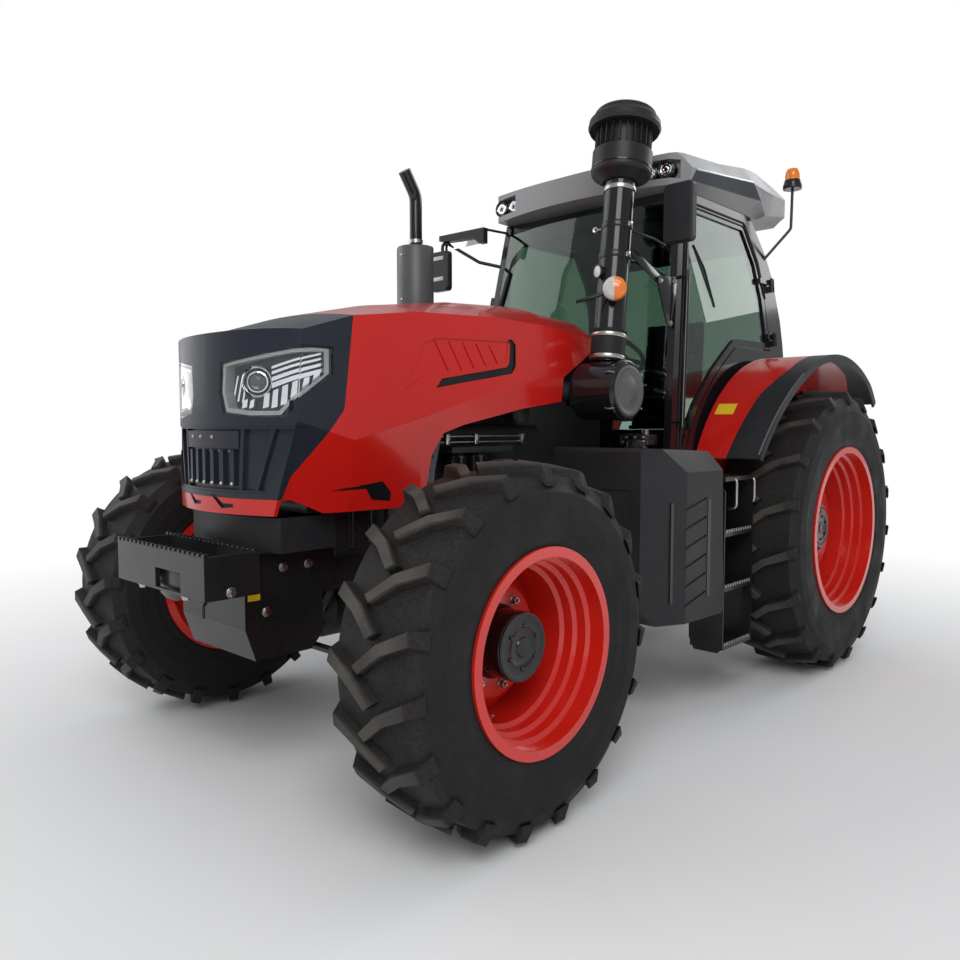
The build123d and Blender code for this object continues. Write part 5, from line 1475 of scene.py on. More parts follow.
@dataclass
class Intake(Assembly):
    """Clamps, hose, wing bolts and lights on the upright air intake.

    Attributes:
        foot: Foot of the stack's middle line.
        head: Head of the stack's middle line.
        radius: Radius of the stack.
        canister: Middle of the canister's outer face.
        canister_radius: Radius of the canister.
    """

    foot: Point = (0.600, -0.300, 1.824)
    head: Point = (0.571, -0.150, 2.775)
    radius: float = 0.080
    canister: Point = (0.749, -0.320, 1.674)
    canister_radius: float = 0.150

    def build(self) -> None:
        """Make all pieces of the intake."""
        self.line = (Vector(self.head) - Vector(self.foot)).normalized()
        self.length = (Vector(self.head) - Vector(self.foot)).length
        self.hose()
        self.clamps()
        self.wing_bolts()
        self.turn_lamp()
        self.round_lamp()
        self.end_disc()
        self.cleaner()

    def at(self, height: float) -> Point:
        """Point of the stack's middle line at a height above its foot."""
        return tuple(Vector(self.foot) + self.line * height)

    def band(self, name: str, height: float, width: float, proud: float, finish: str) -> None:
        """Ring round the stack.

        Args:
            name: Name of the ring.
            height: Height of its foot above the stack's foot.
            width: Its width.
            proud: How far it stands off the stack.
            finish: Name of its finish.
        """
        inside = self.radius - 0.001
        outside = self.radius + proud
        ring = Bench.turned(name, self.at(height), tuple(self.line), [
            (inside, 0.0), (outside - 0.001, 0.0), (outside, 0.002), (outside, width - 0.002),
            (outside - 0.001, width), (inside, width)], 48)
        self.place(ring, finish)

    def hose(self) -> None:
        """Rubber sleeve between the canister and the stack."""
        inside = self.radius - 0.001
        outside = self.radius + 0.010
        profile = [(inside, 0.004), (outside - 0.002, 0.004), (outside, 0.007), (outside, 0.150),
                   (outside + 0.004, 0.156), (outside + 0.004, 0.164), (outside - 0.002, 0.168),
                   (inside, 0.168)]
        self.place(Bench.turned("intake_hose", self.at(0.0), tuple(self.line), profile, 48),
                   "rubber")

    def clamps(self) -> None:
        """Bright steel clamps on the hose and under the pre-cleaner."""
        self.band("hose_clamp_low", 0.012, 0.020, 0.0135, "zinc")
        self.band("hose_clamp_high", 0.126, 0.020, 0.0135, "zinc")
        self.band("stack_clamp", self.length - 0.052, 0.026, 0.006, "zinc")
        self.band("stack_band_low", 0.545, 0.034, 0.004, "plate_black")
        self.band("stack_band_high", 0.705, 0.034, 0.004, "plate_black")

    def wing_bolts(self) -> None:
        """Eye bolts that close the two bands, and the bracket behind them."""
        for index, (height, angle) in enumerate(((0.562, -20.0), (0.722, -20.0), (0.722, 200.0))):
            turn = math.radians(angle)
            out = Vector((math.cos(turn), math.sin(turn), 0.0))
            middle = Vector(self.at(height)) + out * (self.radius + 0.016)
            stem = Bench.rod("stem", [tuple(middle - out * 0.016), tuple(middle + out * 0.012)],
                             0.006)
            eye = Bench.turned("eye", tuple(middle + out * 0.020), (-out.y, out.x, 0.0), [
                (0.007, -0.004), (0.013, -0.006), (0.018, 0.0), (0.013, 0.006), (0.007, 0.004)], 20)
            self.place(Bench.joined(f"band_bolt_{index}", [stem, eye]), "zinc")
        arms = []
        for height in (0.560, 0.720):
            start = Vector(self.at(height)) + Vector((0.030, self.radius - 0.012, 0.0))
            arms.append(Bench.rod("arm", [tuple(start), (0.640, 0.08, start.z - 0.02),
                                          (0.668, 0.150, start.z - 0.05)], 0.008, 0.03))
        self.place(Bench.joined("stack_stays", arms), "plate_black")

    def turn_lamp(self) -> None:
        """Drum-shaped turn lamp: clear in its front half, amber in its outer half."""
        centre = Vector(self.at(0.372)) + Vector((0.084, -0.100, 0.0))
        aim = Vector((0.50, -0.87, 0.0)).normalized()
        across = Vector((aim.y, -aim.x, 0.0))
        back = Bench.turned("turn_lamp_back", tuple(centre), tuple(aim), [
            (0.0, -0.020), (0.040, -0.020), (0.060, -0.004), (0.060, 0.006), (0.0, 0.006)], 40)
        self.place(back, "plate_black")
        for name, half, finish in (("clear", 1.0, "lamp_frosted"), ("amber", -1.0, "amber_lens")):
            drum = Bench.turned(f"turn_lamp_{name}", tuple(centre), tuple(aim), [
                (0.0, 0.006), (0.058, 0.006), (0.062, 0.014), (0.058, 0.034), (0.046, 0.044),
                (0.034, 0.047), (0.030, 0.044), (0.016, 0.048), (0.0, 0.049)], 48)
            Bench.edit(drum)
            bpy.ops.mesh.bisect(plane_co=centre, plane_no=across * half, use_fill=True,
                                clear_inner=True)
            Bench.close()
            self.place(Bench.settle(drum), finish)
        arm = Bench.rod("turn_lamp_arm", [(0.502, -0.440, 2.134), (0.575, -0.405, 2.150),
                                          tuple(centre - aim * 0.016)], 0.010, 0.05)
        self.place(arm, "plate_black")

    def round_lamp(self) -> None:
        """Small round lamp above the turn lamp."""
        centre = Vector(self.at(0.478)) + Vector((-0.030, -0.092, 0.0))
        aim = (-0.35, -1.0, 0.0)
        shell = Bench.turned("round_lamp", tuple(centre), aim, [
            (0.0, -0.020), (0.026, -0.018), (0.036, 0.0), (0.037, 0.012), (0.033, 0.013),
            (0.031, 0.006), (0.0, 0.004)], 32)
        lens = Bench.turned("round_lamp_lens", tuple(centre), aim, [
            (0.0, 0.004), (0.031, 0.006), (0.029, 0.011), (0.016, 0.014), (0.0, 0.015)], 32)
        self.place(shell, "plate_black")
        self.place(lens, "lamp_frosted")

    def end_disc(self) -> None:
        """Grey lid of the canister with its rolled edge and clips."""
        edge = self.canister_radius
        lid = Bench.turned("canister_lid", self.canister, (1, 0, 0), [
            (0.0, 0.0), (edge - 0.020, 0.0), (edge - 0.022, 0.006), (edge - 0.034, 0.008),
            (edge - 0.042, 0.004), (edge * 0.45, 0.004), (edge * 0.40, 0.007), (0.0, 0.007)], 64)
        self.place(lid, "lid_grey")
        ring = Bench.turned("canister_ring", self.canister, (1, 0, 0), [
            (edge - 0.002, -0.030), (edge + 0.006, -0.030), (edge + 0.006, -0.014),
            (edge - 0.002, -0.010)], 64)
        self.place(ring, "gloss_black")
        clips = []
        for angle in (35, 145, 215, 325):
            turn = math.radians(angle)
            out = Vector((0.0, math.cos(turn), math.sin(turn)))
            foot = Vector(self.canister) + out * (edge + 0.004)
            clips.append(Bench.rod("clip", [tuple(foot + Vector((-0.060, 0, 0))),
                                            tuple(foot + out * 0.008 + Vector((-0.034, 0, 0))),
                                            tuple(foot + Vector((-0.004, 0, 0)))], 0.005, 0.010))
        self.place(Bench.joined("canister_clips", clips), "zinc")

    def cleaner(self) -> None:
        """Fins under the pre-cleaner's cap and the ribs of its collar."""
        fin = Bench.block("fin", (-0.0025, 0.125, 0.172), (0.0025, 0.150, 0.279), 0.001, 1)
        up = self.line.to_track_quat("Z", "Y").to_matrix().to_4x4()
        places = [Matrix.Translation(self.head) @ up
                  @ Matrix.Rotation(math.radians(15 * step), 4, "Z") for step in range(24)]
        self.place(Bench.copies("cleaner_fins", fin, places), "dark_plastic")
        ring = Bench.turned("cleaner_ring", self.head, tuple(self.line), [
            (0.157, 0.062), (0.161, 0.064), (0.161, 0.070), (0.157, 0.072)], 64)
        cap = Bench.turned("cleaner_cap_ring", self.head, tuple(self.line), [
            (0.150, 0.374), (0.158, 0.366), (0.161, 0.371), (0.153, 0.380)], 64)
        self.place(Bench.joined("cleaner_rings", [ring, cap]), "gloss_black")


# ---------------------------------------------------------------- cab


@dataclass
class Cab(Assembly):
    """Padded seat, inner trim, seals, wiper, roof inlays and lamp rings of the cab.

    Attributes:
        voxel: Size of the cushions' cells.
        swell: How far the stuffing may push the cover out.
        side_x: X of the left side's outside at side_z.
        side_z: Height of that place.
        lean: Inward lean of the side per metre of height.
    """

    voxel: float = 0.006
    swell: float = 0.010
    side_x: float = 0.762
    side_z: float = 1.4
    lean: float = 0.0769

    def build(self) -> None:
        """Make all pieces of the cab."""
        self.seat()
        self.controls()
        self.trim()
        self.doors()
        self.pillar()
        self.roof()
        self.mirrors()

    def plane(self, z: float) -> float:
        """Outside of the cab's left side at a height."""
        return self.side_x - (z - self.side_z) * self.lean

    def cushion(self, core: bpy.types.Object, channels: list[tuple[int, float, float, float]],
                fill: float) -> bpy.types.Object:
        """Stuff a closed form by cloth simulation and press its seams in.

        Args:
            core: The form, slightly smaller than the cushion.
            channels: Seams, as (axis, place, depth, width).
            fill: How tightly it is stuffed, 0 to 1; not used.

        Returns:
            The cushion.
        """
        remesh = core.modifiers.new("remesh", "REMESH")
        remesh.mode, remesh.voxel_size = "VOXEL", self.voxel
        Bench.apply(core)
        rest = [vertex.co.copy() for vertex in core.data.vertices]
        cloth = core.modifiers.new("cloth", "CLOTH")
        cloth.settings.use_pressure = True
        cloth.settings.uniform_pressure_force = 4.0
        cloth.settings.effector_weights.gravity = 0.0
        for frame in range(1, 21):
            bpy.context.scene.frame_set(frame)
        shaped = core.evaluated_get(bpy.context.evaluated_depsgraph_get())
        moved = [vertex.co.copy() for vertex in shaped.data.vertices]
        core.modifiers.clear()
        bpy.context.scene.frame_set(1)
        for vertex, before, after in zip(core.data.vertices, rest, moved):
            step = after - before
            vertex.co = before + step * min(1.0, self.swell / max(step.length, 1e-9))
        smooth = core.modifiers.new("smooth", "SUBSURF")
        smooth.levels = 1
        Bench.apply(core)
        normals = [vertex.normal.copy() for vertex in core.data.vertices]
        for vertex, normal in zip(core.data.vertices, normals):
            for axis, place, depth, width in channels:
                vertex.co -= normal * depth * math.exp(-((vertex.co[axis] - place) / width) ** 2)
        Bench.settle(core, 60)
        return core

    def seat(self) -> None:
        """Driver's seat: two cushions on a moulded shell and a bellows."""
        pad = Bench.block("seat_cushion", (-0.232, 0.972, 1.718), (0.232, 1.318, 1.760), 0.018, 3)
        pad = self.cushion(pad, [(0, -0.150, 0.007, 0.007), (0, 0.150, 0.007, 0.007),
                                 (1, 1.060, 0.005, 0.007), (1, 1.150, 0.005, 0.007),
                                 (1, 1.240, 0.005, 0.007)], 0.85)
        back = Bench.prism("seat_back", [(1.348, 1.796), (1.410, 2.236), (1.446, 2.236),
                                         (1.418, 1.796)], Facing.SIDE, -0.228, 0.456, 0.014, 3)
        back = self.cushion(back, [(0, -0.150, 0.007, 0.007), (0, 0.150, 0.007, 0.007),
                                   (2, 1.900, 0.005, 0.007), (2, 2.000, 0.005, 0.007),
                                   (2, 2.100, 0.005, 0.007)], 0.85)
        shell = Bench.prism("seat_shell", [
            (0.966, 1.702), (0.966, 1.716), (1.340, 1.712), (1.404, 1.760), (1.440, 2.210),
            (1.462, 2.210), (1.430, 1.730), (1.388, 1.694)], Facing.SIDE, -0.215, 0.430, 0.005)
        folds = []
        for index, inset in enumerate((0.0, 0.014, 0.0, 0.014, 0.0, 0.014, 0.0, 0.012)):
            foot = 1.474 + 0.027 * index
            head = 1.502 + 0.027 * index
            folds.append(Bench.block("fold", (-0.150 + inset, 1.065 + inset, foot),
                                     (0.150 - inset, 1.325 - inset, head), 0.008))
        bellows = Bench.joined("seat_bellows", folds)
        self.place(pad, "seat_cloth")
        self.place(back, "seat_cloth")
        self.place(shell, "dark_plastic")
        self.place(bellows, "rubber")
        for piece in (pad, back, shell, bellows):
            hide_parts("driver_seat")

    def controls(self) -> None:
        """Dashboard hood, levers and pedals."""
        cowl = Bench.prism("dash_hood", [(0.190, 1.870), (0.230, 1.965), (0.430, 1.995),
                                         (0.560, 1.940), (0.570, 1.880)],
                           Facing.SIDE, -0.170, 0.340, 0.012)
        self.place(cowl, "dark_plastic")
        dial = Bench.prism("dash_dials", [(0.468, 1.978), (0.566, 1.930), (0.570, 1.936),
                                          (0.472, 1.985)], Facing.SIDE, -0.140, 0.280, 0.001)
        self.place(dial, "gloss_black")
        levers = []
        runs = [((x * 0.75, 0.500, 1.840), (x, 0.550, 1.900)) for x in (-0.190, 0.190)]
        runs += [((x, y, 1.472), (x + 0.01, y - 0.05, 1.860))
                 for x, y in ((-0.330, 1.120), (-0.380, 1.160))]
        for foot, top in runs:
            levers.append(Bench.rod("lever", [foot, top], 0.007))
            levers.append(Bench.turned("knob", top, (0.0, 0.0, 1.0),
                                       [(0.0, -0.022), (0.014, -0.016), (0.019, 0.0),
                                        (0.014, 0.018), (0.0, 0.022)], 20))
        self.place(Bench.joined("cab_levers", levers), "dark_plastic")
        pedals = [Bench.block("pedal", (x - 0.036, 0.250, 1.262), (x + 0.036, 0.268, 1.352), 0.006)
                  for x in (-0.30, -0.21, 0.22)]
        stems = [Bench.rod("stem", [(x, 0.255, 1.300), (x, 0.200, 1.232)], 0.008)
                 for x in (-0.30, -0.21, 0.22)]
        self.place(Bench.joined("cab_pedals", pedals + stems), "rubber")

    def trim(self) -> None:
        """Dark headliner and the curved inner trim of the rear corners."""
        liner = Bench.prism("headliner", [(0.345, 2.752), (0.360, 2.828), (1.200, 2.828),
                                          (1.330, 2.640), (1.300, 2.620), (1.170, 2.770)],
                            Facing.SIDE, -0.590, 1.180, 0.006)
        self.place(liner, "vent_black")
        posts = Bench.rod("rear_trim_left", [(0.690, 1.560, 1.500), (0.672, 1.500, 1.950),
                                             (0.640, 1.420, 2.330), (0.590, 1.270, 2.690)],
                          0.028, 0.10, 6)
        self.place_pair(posts, "vent_black")
        blind = Bench.rod("sun_blind", [(-0.520, 0.365, 2.700), (0.520, 0.365, 2.700)], 0.018,
                          sides=5)
        self.place(blind, "dark_plastic")

    def doors(self) -> None:
        """Seals, handles and the wiper."""
        edge = [(1.375, 2.330), (1.290, 2.560), (1.120, 2.780), (0.392, 2.780), (0.128, 1.290)]
        lines = [(1.360, 2.350), (1.276, 2.545), (1.112, 2.758), (0.410, 2.758), (0.160, 1.330)]
        seal = Bench.rod("door_seal", [(self.plane(z) + 0.002, y, z) for y, z in edge], 0.006, 0.02)
        inner = Bench.rod("door_line", [(self.plane(z) + 0.003, y, z) for y, z in lines], 0.004,
                          0.02)
        handle = Bench.block("handle", (self.plane(1.52) + 0.004, 0.262, 1.478),
                             (self.plane(1.52) + 0.026, 0.300, 1.585), 0.007)
        piece = Bench.joined("door_seal", [seal, inner, handle])
        twin = Bench.mirrored(piece, "door_seal_right")
        self.place(piece, "rubber", "door_left")
        self.place(twin, "rubber", "door_right")
        arm = Bench.rod("wiper_arm", [(0.664, 0.468, 2.539), (0.676, 0.579, 2.420),
                                      (0.690, 0.687, 2.206)], 0.006, 0.02)
        blade = Bench.block("wiper_blade", (-0.006, -0.006, -0.170), (0.006, 0.006, 0.170), 0.003)
        tilt = Vector((0.026, 0.219, -0.333)).to_track_quat("Z", "Y").to_matrix().to_4x4()
        blade = Bench.copies("wiper_blade", blade,
                             [Matrix.Translation((0.672, 0.560, 2.400)) @ tilt])
        self.place(Bench.joined("wiper", [arm, blade]), "vent_black", "door_left")

    def pillar(self) -> None:
        """Bolted plate on the front pillar and the flat bar that holds the stack."""
        plate = Bench.prism("pillar_plate", [(0.030, 2.262), (0.030, 2.300), (0.232, 2.322),
                                             (0.196, 2.040), (0.137, 2.040)],
                            Facing.SIDE, 0.690, 0.009, 0.003)
        bar = Bench.prism("stack_bar", [(-0.205, 2.368), (-0.205, 2.418), (0.060, 2.318),
                                        (0.060, 2.262)], Facing.SIDE, 0.681, 0.008, 0.002)
        self.place(Bench.joined("pillar_plate", [plate, bar]), "gloss_black")
        master = Bench.bolt("bolt", 0.024, 0.012, 0.015)
        spots = [Bench.aimed((0.699, y, z), (1, 0, 0))
                 for y, z in ((0.052, 2.281), (0.200, 2.296), (0.164, 2.062))]
        self.place(Bench.copies("pillar_bolts", master, spots), "zinc")

    def roof(self) -> None:
        """Dark inlays with their light line, lamp rings and the beacon's collar."""
        inlay = Bench.patch("roof_inlay_left", [(0.345, 2.872), (0.386, 2.937), (1.105, 3.018),
                                                (1.235, 2.930)], Facing.SIDE, 1.2,
                            "cab_roof", cuts=5)
        self.place_pair(inlay, "roof_inlay")
        stripe = Bench.patch("roof_stripe_left", [(0.384, 2.934), (0.391, 2.945), (1.108, 3.027),
                                                  (1.107, 3.015)], Facing.SIDE, 1.2,
                             "cab_roof", lift=0.0024, cuts=5)
        self.place_pair(stripe, "trim_light")
        rings, bowls = [], []
        for x in (0.510, 0.614, -0.510, -0.614):
            front = surface("lamps", (x, -0.6, 2.927), (0, 1, 0))
            rings.append(Bench.turned("ring", tuple(front), (0, -1, 0), [
                (0.040, -0.014), (0.051, -0.014), (0.051, 0.004), (0.047, 0.007), (0.040, 0.002)],
                                      40))
            bowls.append(Bench.turned("bowl", tuple(front), (0, -1, 0), [
                (0.010, 0.0), (0.016, 0.003), (0.020, 0.0005), (0.030, 0.0005), (0.033, 0.003),
                (0.036, 0.0)], 32))
        self.place(Bench.joined("roof_lamp_rings", rings), "gloss_black")
        self.place(Bench.joined("roof_lamp_bowls", bowls), "chrome")
        collar = Bench.turned("beacon_collar", BEACON, (0, 0, 1), [
            (0.040, 0.018), (0.059, 0.018), (0.059, 0.026), (0.050, 0.058), (0.040, 0.060)], 40)
        self.place(collar, "gloss_black")
        cover = Bench.turned("beacon_lens", BEACON, (0, 0, 1), [
            (0.0, 0.052), (0.0470, 0.052), (0.0485, 0.060), (0.0465, 0.078), (0.0472, 0.080),
            (0.0440, 0.110), (0.0340, 0.1290), (0.0, 0.1330)], 40)
        self.place(cover, "amber_lens")

    def mirrors(self) -> None:
        """Glasses of the mirrors, and the light strips on their backs, which are painted
        highlights.
        """
        glasses, highlight_strips = [], []
        for x, y, z, height in ((0.821, 0.030, 2.615, 0.310), (-1.085, 0.130, 2.565, 0.270)):
            glasses.append(Bench.block("glass", (x - 0.074, y + 0.020, z - height / 2 + 0.014),
                                       (x + 0.074, y + 0.0245, z + height / 2 - 0.014), 0.002))
        glasses.append(Bench.block("glass", (-1.070, 0.156, 2.708), (-0.690, 0.1595, 2.798), 0.002))
        self.place(Bench.joined("mirror_glasses", glasses), "chrome")
        # Two light grey strips across the right mirror's back: painted highlights of the lamps.
        for z in (2.500, 2.640):
            highlight_strips.append(Bench.block("mark", (-1.150, 0.1045, z), (-1.040, 0.1085, z + 0.026),
                                     0.002))
        self.place(Bench.joined("mirror_marks", highlight_strips), "trim_light")


# ---------------------------------------------------------------- sides and exhaust


@dataclass
class Sides(Assembly):
    """Edges and labels of the fenders, fittings of tank and steps, and the exhaust's shield."""

    def build(self) -> None:
        """Make all pieces of the sides."""
        self.fender_edges()
        self.steps()
        self.tank()
        self.exhaust()

    def along(self, node: str, places: Outline) -> list[Point]:
        """Points of a fender met from the front.

        Args:
            node: Name of the node.
            places: Places, as (x, z).

        Returns:
            The points met.
        """
        met = [surface(node, (x, -0.9, z), (0, 1, 0)) for x, z in places]
        return [(place.x, place.y - 0.002, place.z) for place in met if place.y > -0.5]

    def fender_edges(self) -> None:
        """Rolled lip of the fenders and the blank label."""
        lip = self.along("fender_flares", [(1.140, 1.260), (1.150, 1.340), (1.166, 1.450),
                                           (1.180, 1.560), (1.196, 1.680), (1.208, 1.790)])
        self.place_pair(Bench.rod("fender_lip_left", lip, 0.007, 0.04), "lid_grey")
        label = Bench.patch("fender_label", [(0.812, 1.562), (0.925, 1.562), (0.925, 1.622),
                                             (0.812, 1.622)], Facing.FRONT, -0.2, "fenders", cuts=2)
        self.place(label, "label_yellow")

    def steps(self) -> None:
        """Toothed bright edges of the left treads and the two bright handles."""
        tooth = Bench.block("tooth", (1.089, -0.008, -0.008), (1.0965, 0.008, 0.010), 0.002, 1)
        places = [Matrix.Translation((0.0, 0.088 + 0.0275 * index, z))
                  for z in (0.345, 0.655, 0.945) for index in range(11)]
        teeth = Bench.copies("step_teeth", tooth, places)
        self.place(teeth, "worn_edge")
        for index, (y, high, low) in enumerate(((0.180, 1.225, 1.055), (0.392, 1.222, 1.075))):
            rail = Bench.rod(f"step_handle_{index}", [(1.050, y, high), (1.098, y, high - 0.010),
                                                      (1.098, y, low + 0.010), (1.050, y, low)],
                             0.008, 0.02)
            self.place(rail, "zinc")

    def tank(self) -> None:
        """Filler cap and straps of the tank, and the latch of the side box."""
        top = surface("fuel_tank", (0.720, -0.200, 2.0), (0, 0, -1))
        cap = Bench.turned("tank_cap", tuple(top), (0, 0, 1), [
            (0.0, -0.004), (0.060, -0.004), (0.060, 0.010), (0.052, 0.014), (0.052, 0.040),
            (0.044, 0.048), (0.0, 0.050)], 40)
        self.place(cap, "gloss_black")
        straps = []
        for y in (-0.430, -0.130):
            outer = surface("fuel_tank", (1.5, y, 0.9), (-1, 0, 0)).x
            straps.append(Bench.block("strap", (outer - 0.001, y - 0.016, 0.640),
                                      (outer + 0.003, y + 0.016, 1.130), 0.0012, 1))
        self.place(Bench.joined("tank_straps", straps), "plate_black")
        latch = Bench.block("box_latch", (-1.067, -0.300, 1.110), (-1.059, -0.240, 1.170), 0.003)
        self.place(latch, "zinc")

    def exhaust(self) -> None:
        """Grey half-round shield, clamps and seam rings of the muffler."""
        shell = Bench.turned("muffler_shield", (*MUFFLER, 2.200), (0, 0, 1), [
            (0.112, 0.0), (0.115, 0.0), (0.115, 0.355), (0.109, 0.365), (0.106, 0.365),
            (0.112, 0.353)], 56)
        Bench.edit(shell)
        bpy.ops.mesh.bisect(plane_co=(-0.650, -0.480, 2.3), plane_no=(-0.25, 1.0, 0.0),
                            use_fill=True, clear_outer=True)
        Bench.close()
        self.place(Bench.settle(shell), "lid_grey")
        stand = [Bench.rod("stand", [(-0.650, -0.580, z), (-0.650, -0.618, z)], 0.007)
                 for z in (2.250, 2.510)]
        self.place(Bench.joined("shield_stands", stand), "zinc")
        for index, (z, inside) in enumerate(((1.670, 0.087), (2.160, 0.087), (2.590, 0.036))):
            ring = Bench.turned(f"exhaust_clamp_{index}", (*MUFFLER, z), (0, 0, 1), [
                (inside, 0.0), (inside + 0.006, 0.001), (inside + 0.006, 0.021), (inside, 0.022)],
                                48)
            self.place(ring, "zinc")


# ---------------------------------------------------------------- rear


@dataclass
class Rear(Assembly):
    """Couplers, power shaft guard, lamps and link fittings at the rear."""

    def build(self) -> None:
        """Make all pieces of the rear."""
        self.couplers()
        self.guard()
        self.lamps()
        self.fittings()

    def couplers(self) -> None:
        """Oil couplers beside the top link's pin."""
        bodies, caps = [], []
        for x in (-0.150, -0.095, 0.095, 0.150):
            for z in (1.015, 1.085):
                foot = surface("hitch_housing", (x, 2.3, z), (0, -1, 0))
                bodies.append(Bench.turned("coupler", tuple(foot), (0, 1, 0), [
                    (0.0, -0.003), (0.021, -0.003), (0.021, 0.012), (0.016, 0.016), (0.016, 0.038),
                    (0.0, 0.038)], 20))
                caps.append(Bench.turned("cap", tuple(foot + Vector((0, 0.038, 0))), (0, 1, 0), [
                    (0.0, 0.0), (0.020, 0.0), (0.021, 0.012), (0.010, 0.016), (0.0, 0.016)], 20))
        self.place(Bench.joined("oil_couplers", bodies), "zinc")
        self.place(Bench.joined("coupler_caps", caps), "label_yellow")

    def guard(self) -> None:
        """Bent plate over the power shaft."""
        hood = Bench.prism("shaft_guard", [
            (-0.110, 0.640), (-0.110, 0.780), (-0.090, 0.800), (0.090, 0.800), (0.110, 0.780),
            (0.110, 0.640), (0.104, 0.640), (0.104, 0.776), (0.087, 0.793), (-0.087, 0.793),
            (-0.104, 0.776), (-0.104, 0.640)],
                           Facing.FRONT, 1.756, 0.130, 0.0)
        self.place(hood, "plate_black")
        ring = Bench.turned("shaft_ring", (0.0, 1.762, 0.700), (0, 1, 0), [
            (0.030, -0.004), (0.062, -0.004), (0.062, 0.006), (0.046, 0.010), (0.044, 0.022),
            (0.030, 0.024)], 40)
        self.place(ring, "cast_black")

    def lamps(self) -> None:
        """Two-part lenses of the rear lamps, and the blank plate."""
        for tag, low, high, finish in (("low", 1.434, 1.498, "red_lens"),
                                       ("high", 1.502, 1.566, "amber_lens")):
            lens = Bench.block(f"rear_lens_{tag}_left", (0.701, 1.6755, low), (0.761, 1.684, high),
                               0.003)
            self.place_pair(lens, finish)
        plate = Bench.block("blank_plate", (0.300, 1.640, 1.330), (0.560, 1.646, 1.420), 0.002)
        self.place(plate, "trim_light")

    def fittings(self) -> None:
        """Pin of the top link with its grip."""
        y, z = 1.812, 0.960
        pins = [Bench.rod("pin", [(-0.060, y, z), (0.060, y, z)], 0.0125, sides=5),
                Bench.rod("grip", [(0.060, y, z), (0.085, y, z), (0.085, y - 0.020, z - 0.070)],
                          0.006, 0.01)]
        self.place(Bench.joined("top_link_pin", pins), "zinc")


# ---------------------------------------------------------------- studio


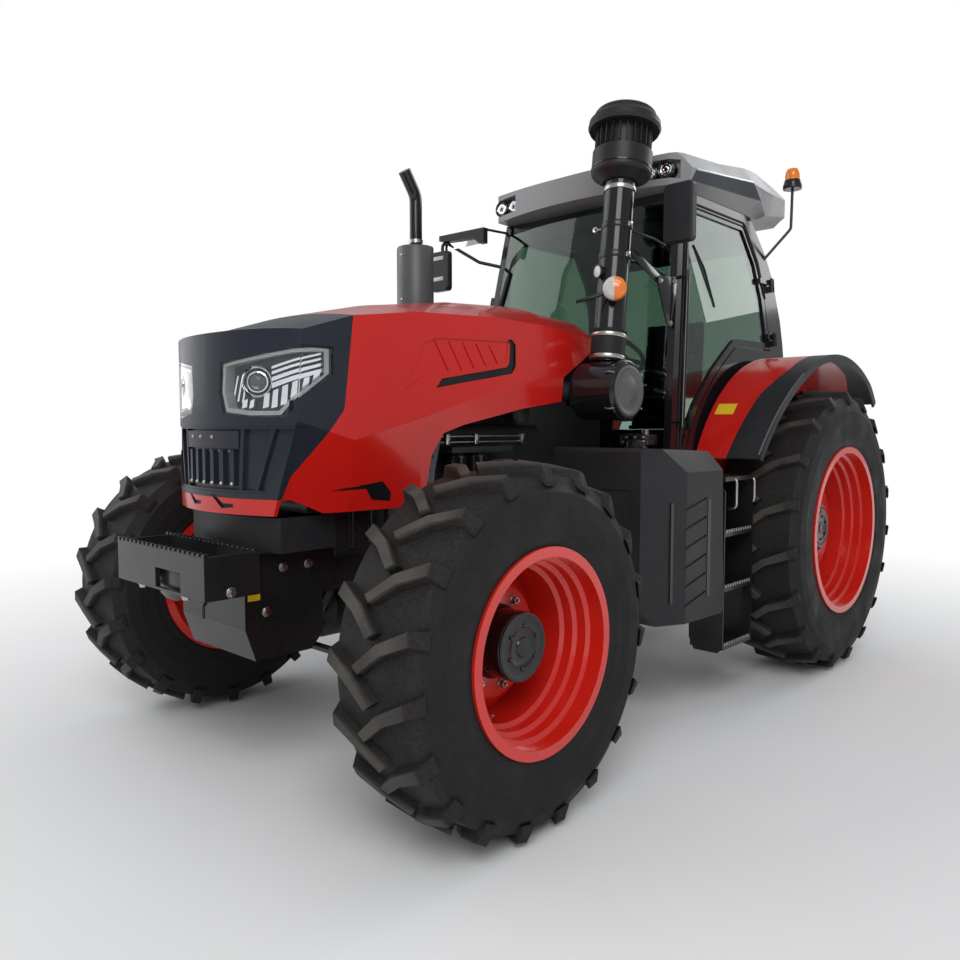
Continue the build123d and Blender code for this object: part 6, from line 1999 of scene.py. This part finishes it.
@dataclass
class Studio:
    """Floor, lights and camera."""

    camera_place: Point = (3.057, -3.880, 1.494)
    camera_forward: Point = (-0.6835, 0.7270, -0.0656)
    lens: float = 30.64
    world_level: float = 0.46
    floor_size: float = 60.0
    lamp_target: Point = (0.0, 0.0, 1.2)

    def build(self) -> None:
        """Make the floor, the world, the lamps and the camera."""
        self.floor()
        self.world()
        self.lamp("key", (5.5, -6.5, 7.0), 5.0, 420.0)
        self.lamp("fill", (-7.0, -3.0, 4.5), 6.0, 160.0)
        self.lamp("back", (2.0, 8.0, 6.0), 5.0, 200.0)
        self.camera()

    def floor(self) -> None:
        """Pale floor that keeps the shadow."""
        bpy.ops.mesh.primitive_plane_add(size=self.floor_size, location=(0, 0, 0))
        ground = bpy.context.object
        ground.name = "floor"
        graph = NodeGraph("floor_pale")
        graph.feed(graph.shader.inputs["Base Color"],
                   graph.blend(graph.noise(2.0), (0.80, 0.80, 0.80), (0.84, 0.84, 0.84)))
        graph.shader.inputs["Roughness"].default_value = 0.9
        away = graph.add("ShaderNodeVectorMath", Vector=graph.place)
        away.operation = "LENGTH"
        glow = graph.add("ShaderNodeEmission", Color=(1.0, 1.0, 1.0, 1.0), Strength=1.0)
        mix = graph.add("ShaderNodeMixShader")
        graph.feed(mix.inputs[0], graph.span(away.outputs["Value"], 2.2, 6.5, 0.0, 1.0))
        graph.feed(mix.inputs[1], graph.shader.outputs["BSDF"])
        graph.feed(mix.inputs[2], glow.outputs["Emission"])
        graph.feed(graph.tree.nodes["Material Output"].inputs["Surface"], mix.outputs["Shader"])
        ground.data.materials.append(graph.material)

    def world(self) -> None:
        """Even pale light, white where the camera sees it, through glass too."""
        world = bpy.data.worlds.new("studio")
        world.use_nodes = True
        bpy.context.scene.world = world
        nodes, links = world.node_tree.nodes, world.node_tree.links
        light = nodes["Background"]
        light.inputs["Color"].default_value = (0.93, 0.96, 1.0, 1.0)
        light.inputs["Strength"].default_value = self.world_level
        white = nodes.new("ShaderNodeBackground")
        white.inputs["Color"].default_value = (1.0, 1.0, 1.0, 1.0)
        path = nodes.new("ShaderNodeLightPath")
        most = nodes.new("ShaderNodeMath")
        most.operation = "MAXIMUM"
        links.new(path.outputs["Is Camera Ray"], most.inputs[0])
        links.new(path.outputs["Is Transmission Ray"], most.inputs[1])
        mix = nodes.new("ShaderNodeMixShader")
        links.new(most.outputs[0], mix.inputs[0])
        links.new(light.outputs[0], mix.inputs[1])
        links.new(white.outputs[0], mix.inputs[2])
        links.new(mix.outputs[0], nodes["World Output"].inputs["Surface"])

    def lamp(self, name: str, place: Point, size: float, power: float) -> None:
        """Add a soft square lamp aimed at the middle of the tractor.

        Args:
            name: Name of the lamp.
            place: Where it hangs.
            size: Side of its square in metres.
            power: Its power in watts.
        """
        data = bpy.data.lights.new(name, "AREA")
        data.shape = "SQUARE"
        data.size = size
        data.energy = power
        lamp = bpy.data.objects.new(name, data)
        bpy.context.scene.collection.objects.link(lamp)
        lamp.location = place
        towards = Vector(self.lamp_target) - Vector(place)
        lamp.rotation_euler = towards.to_track_quat("-Z", "Y").to_euler()

    def camera(self) -> None:
        """Place the camera at the viewing angle."""
        data = bpy.data.cameras.new("camera")
        data.lens = self.lens
        data.sensor_width = 36.0
        data.clip_end = 200.0
        camera = bpy.data.objects.new("camera", data)
        bpy.context.scene.collection.objects.link(camera)
        camera.location = self.camera_place
        camera.rotation_euler = Vector(self.camera_forward).to_track_quat("-Z", "Y").to_euler()
        bpy.context.scene.camera = camera


def sub_assemblies(palette: Palette) -> list[Assembly]:
    """All sub-assemblies in the order they are built.

    Args:
        palette: Where the finishes come from.

    Returns:
        The sub-assemblies.
    """
    wheels = []
    for side, tag in ((1, "left"), (-1, "right")):
        wheels.append(Wheel(palette, name=f"front_{tag}", side=side, axle=FRONT_AXLE))
        wheels.append(Wheel(palette, name=f"rear_{tag}", side=side, axle=REAR_AXLE, plate_x=1.075,
                            cap_x=1.127, cap_radius=0.118, bolt_ring=0.165, bolt_count=10,
                            seat_radius=0.42, valve_x=1.16))
    return [*wheels, Nose(palette), Hood(palette), Front(palette), EngineBay(palette),
            Intake(palette), Cab(palette), Sides(palette), Rear(palette)]


def main() -> None:
    """Dress the tractor."""
    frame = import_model()
    bpy.ops.object.select_all(action="DESELECT")
    scene = bpy.context.scene
    scene.view_settings.view_transform = "Standard"
    Studio().build()
    palette = Palette()
    for axle, centre in (("front", FRONT_AXLE), ("rear", REAR_AXLE)):
        name = f"tyre_{axle}_rubber"
        FINISHES[name] = TyreFinish(name, centre, centre[1], 0.040)
        for side in ("left", "right"):
            NODE_FINISH[f"tyre_{axle}_{side}"] = name
    for node, piece in frame["nodes"].items():
        palette.dress(piece, NODE_FINISH[node])
        LOG.info("dressed %s", node)
    for sub_assembly in sub_assemblies(palette):
        sub_assembly.build()


if __name__ == "__main__":
    logging.basicConfig(level=logging.INFO, format="%(name)s: %(message)s")
    main()
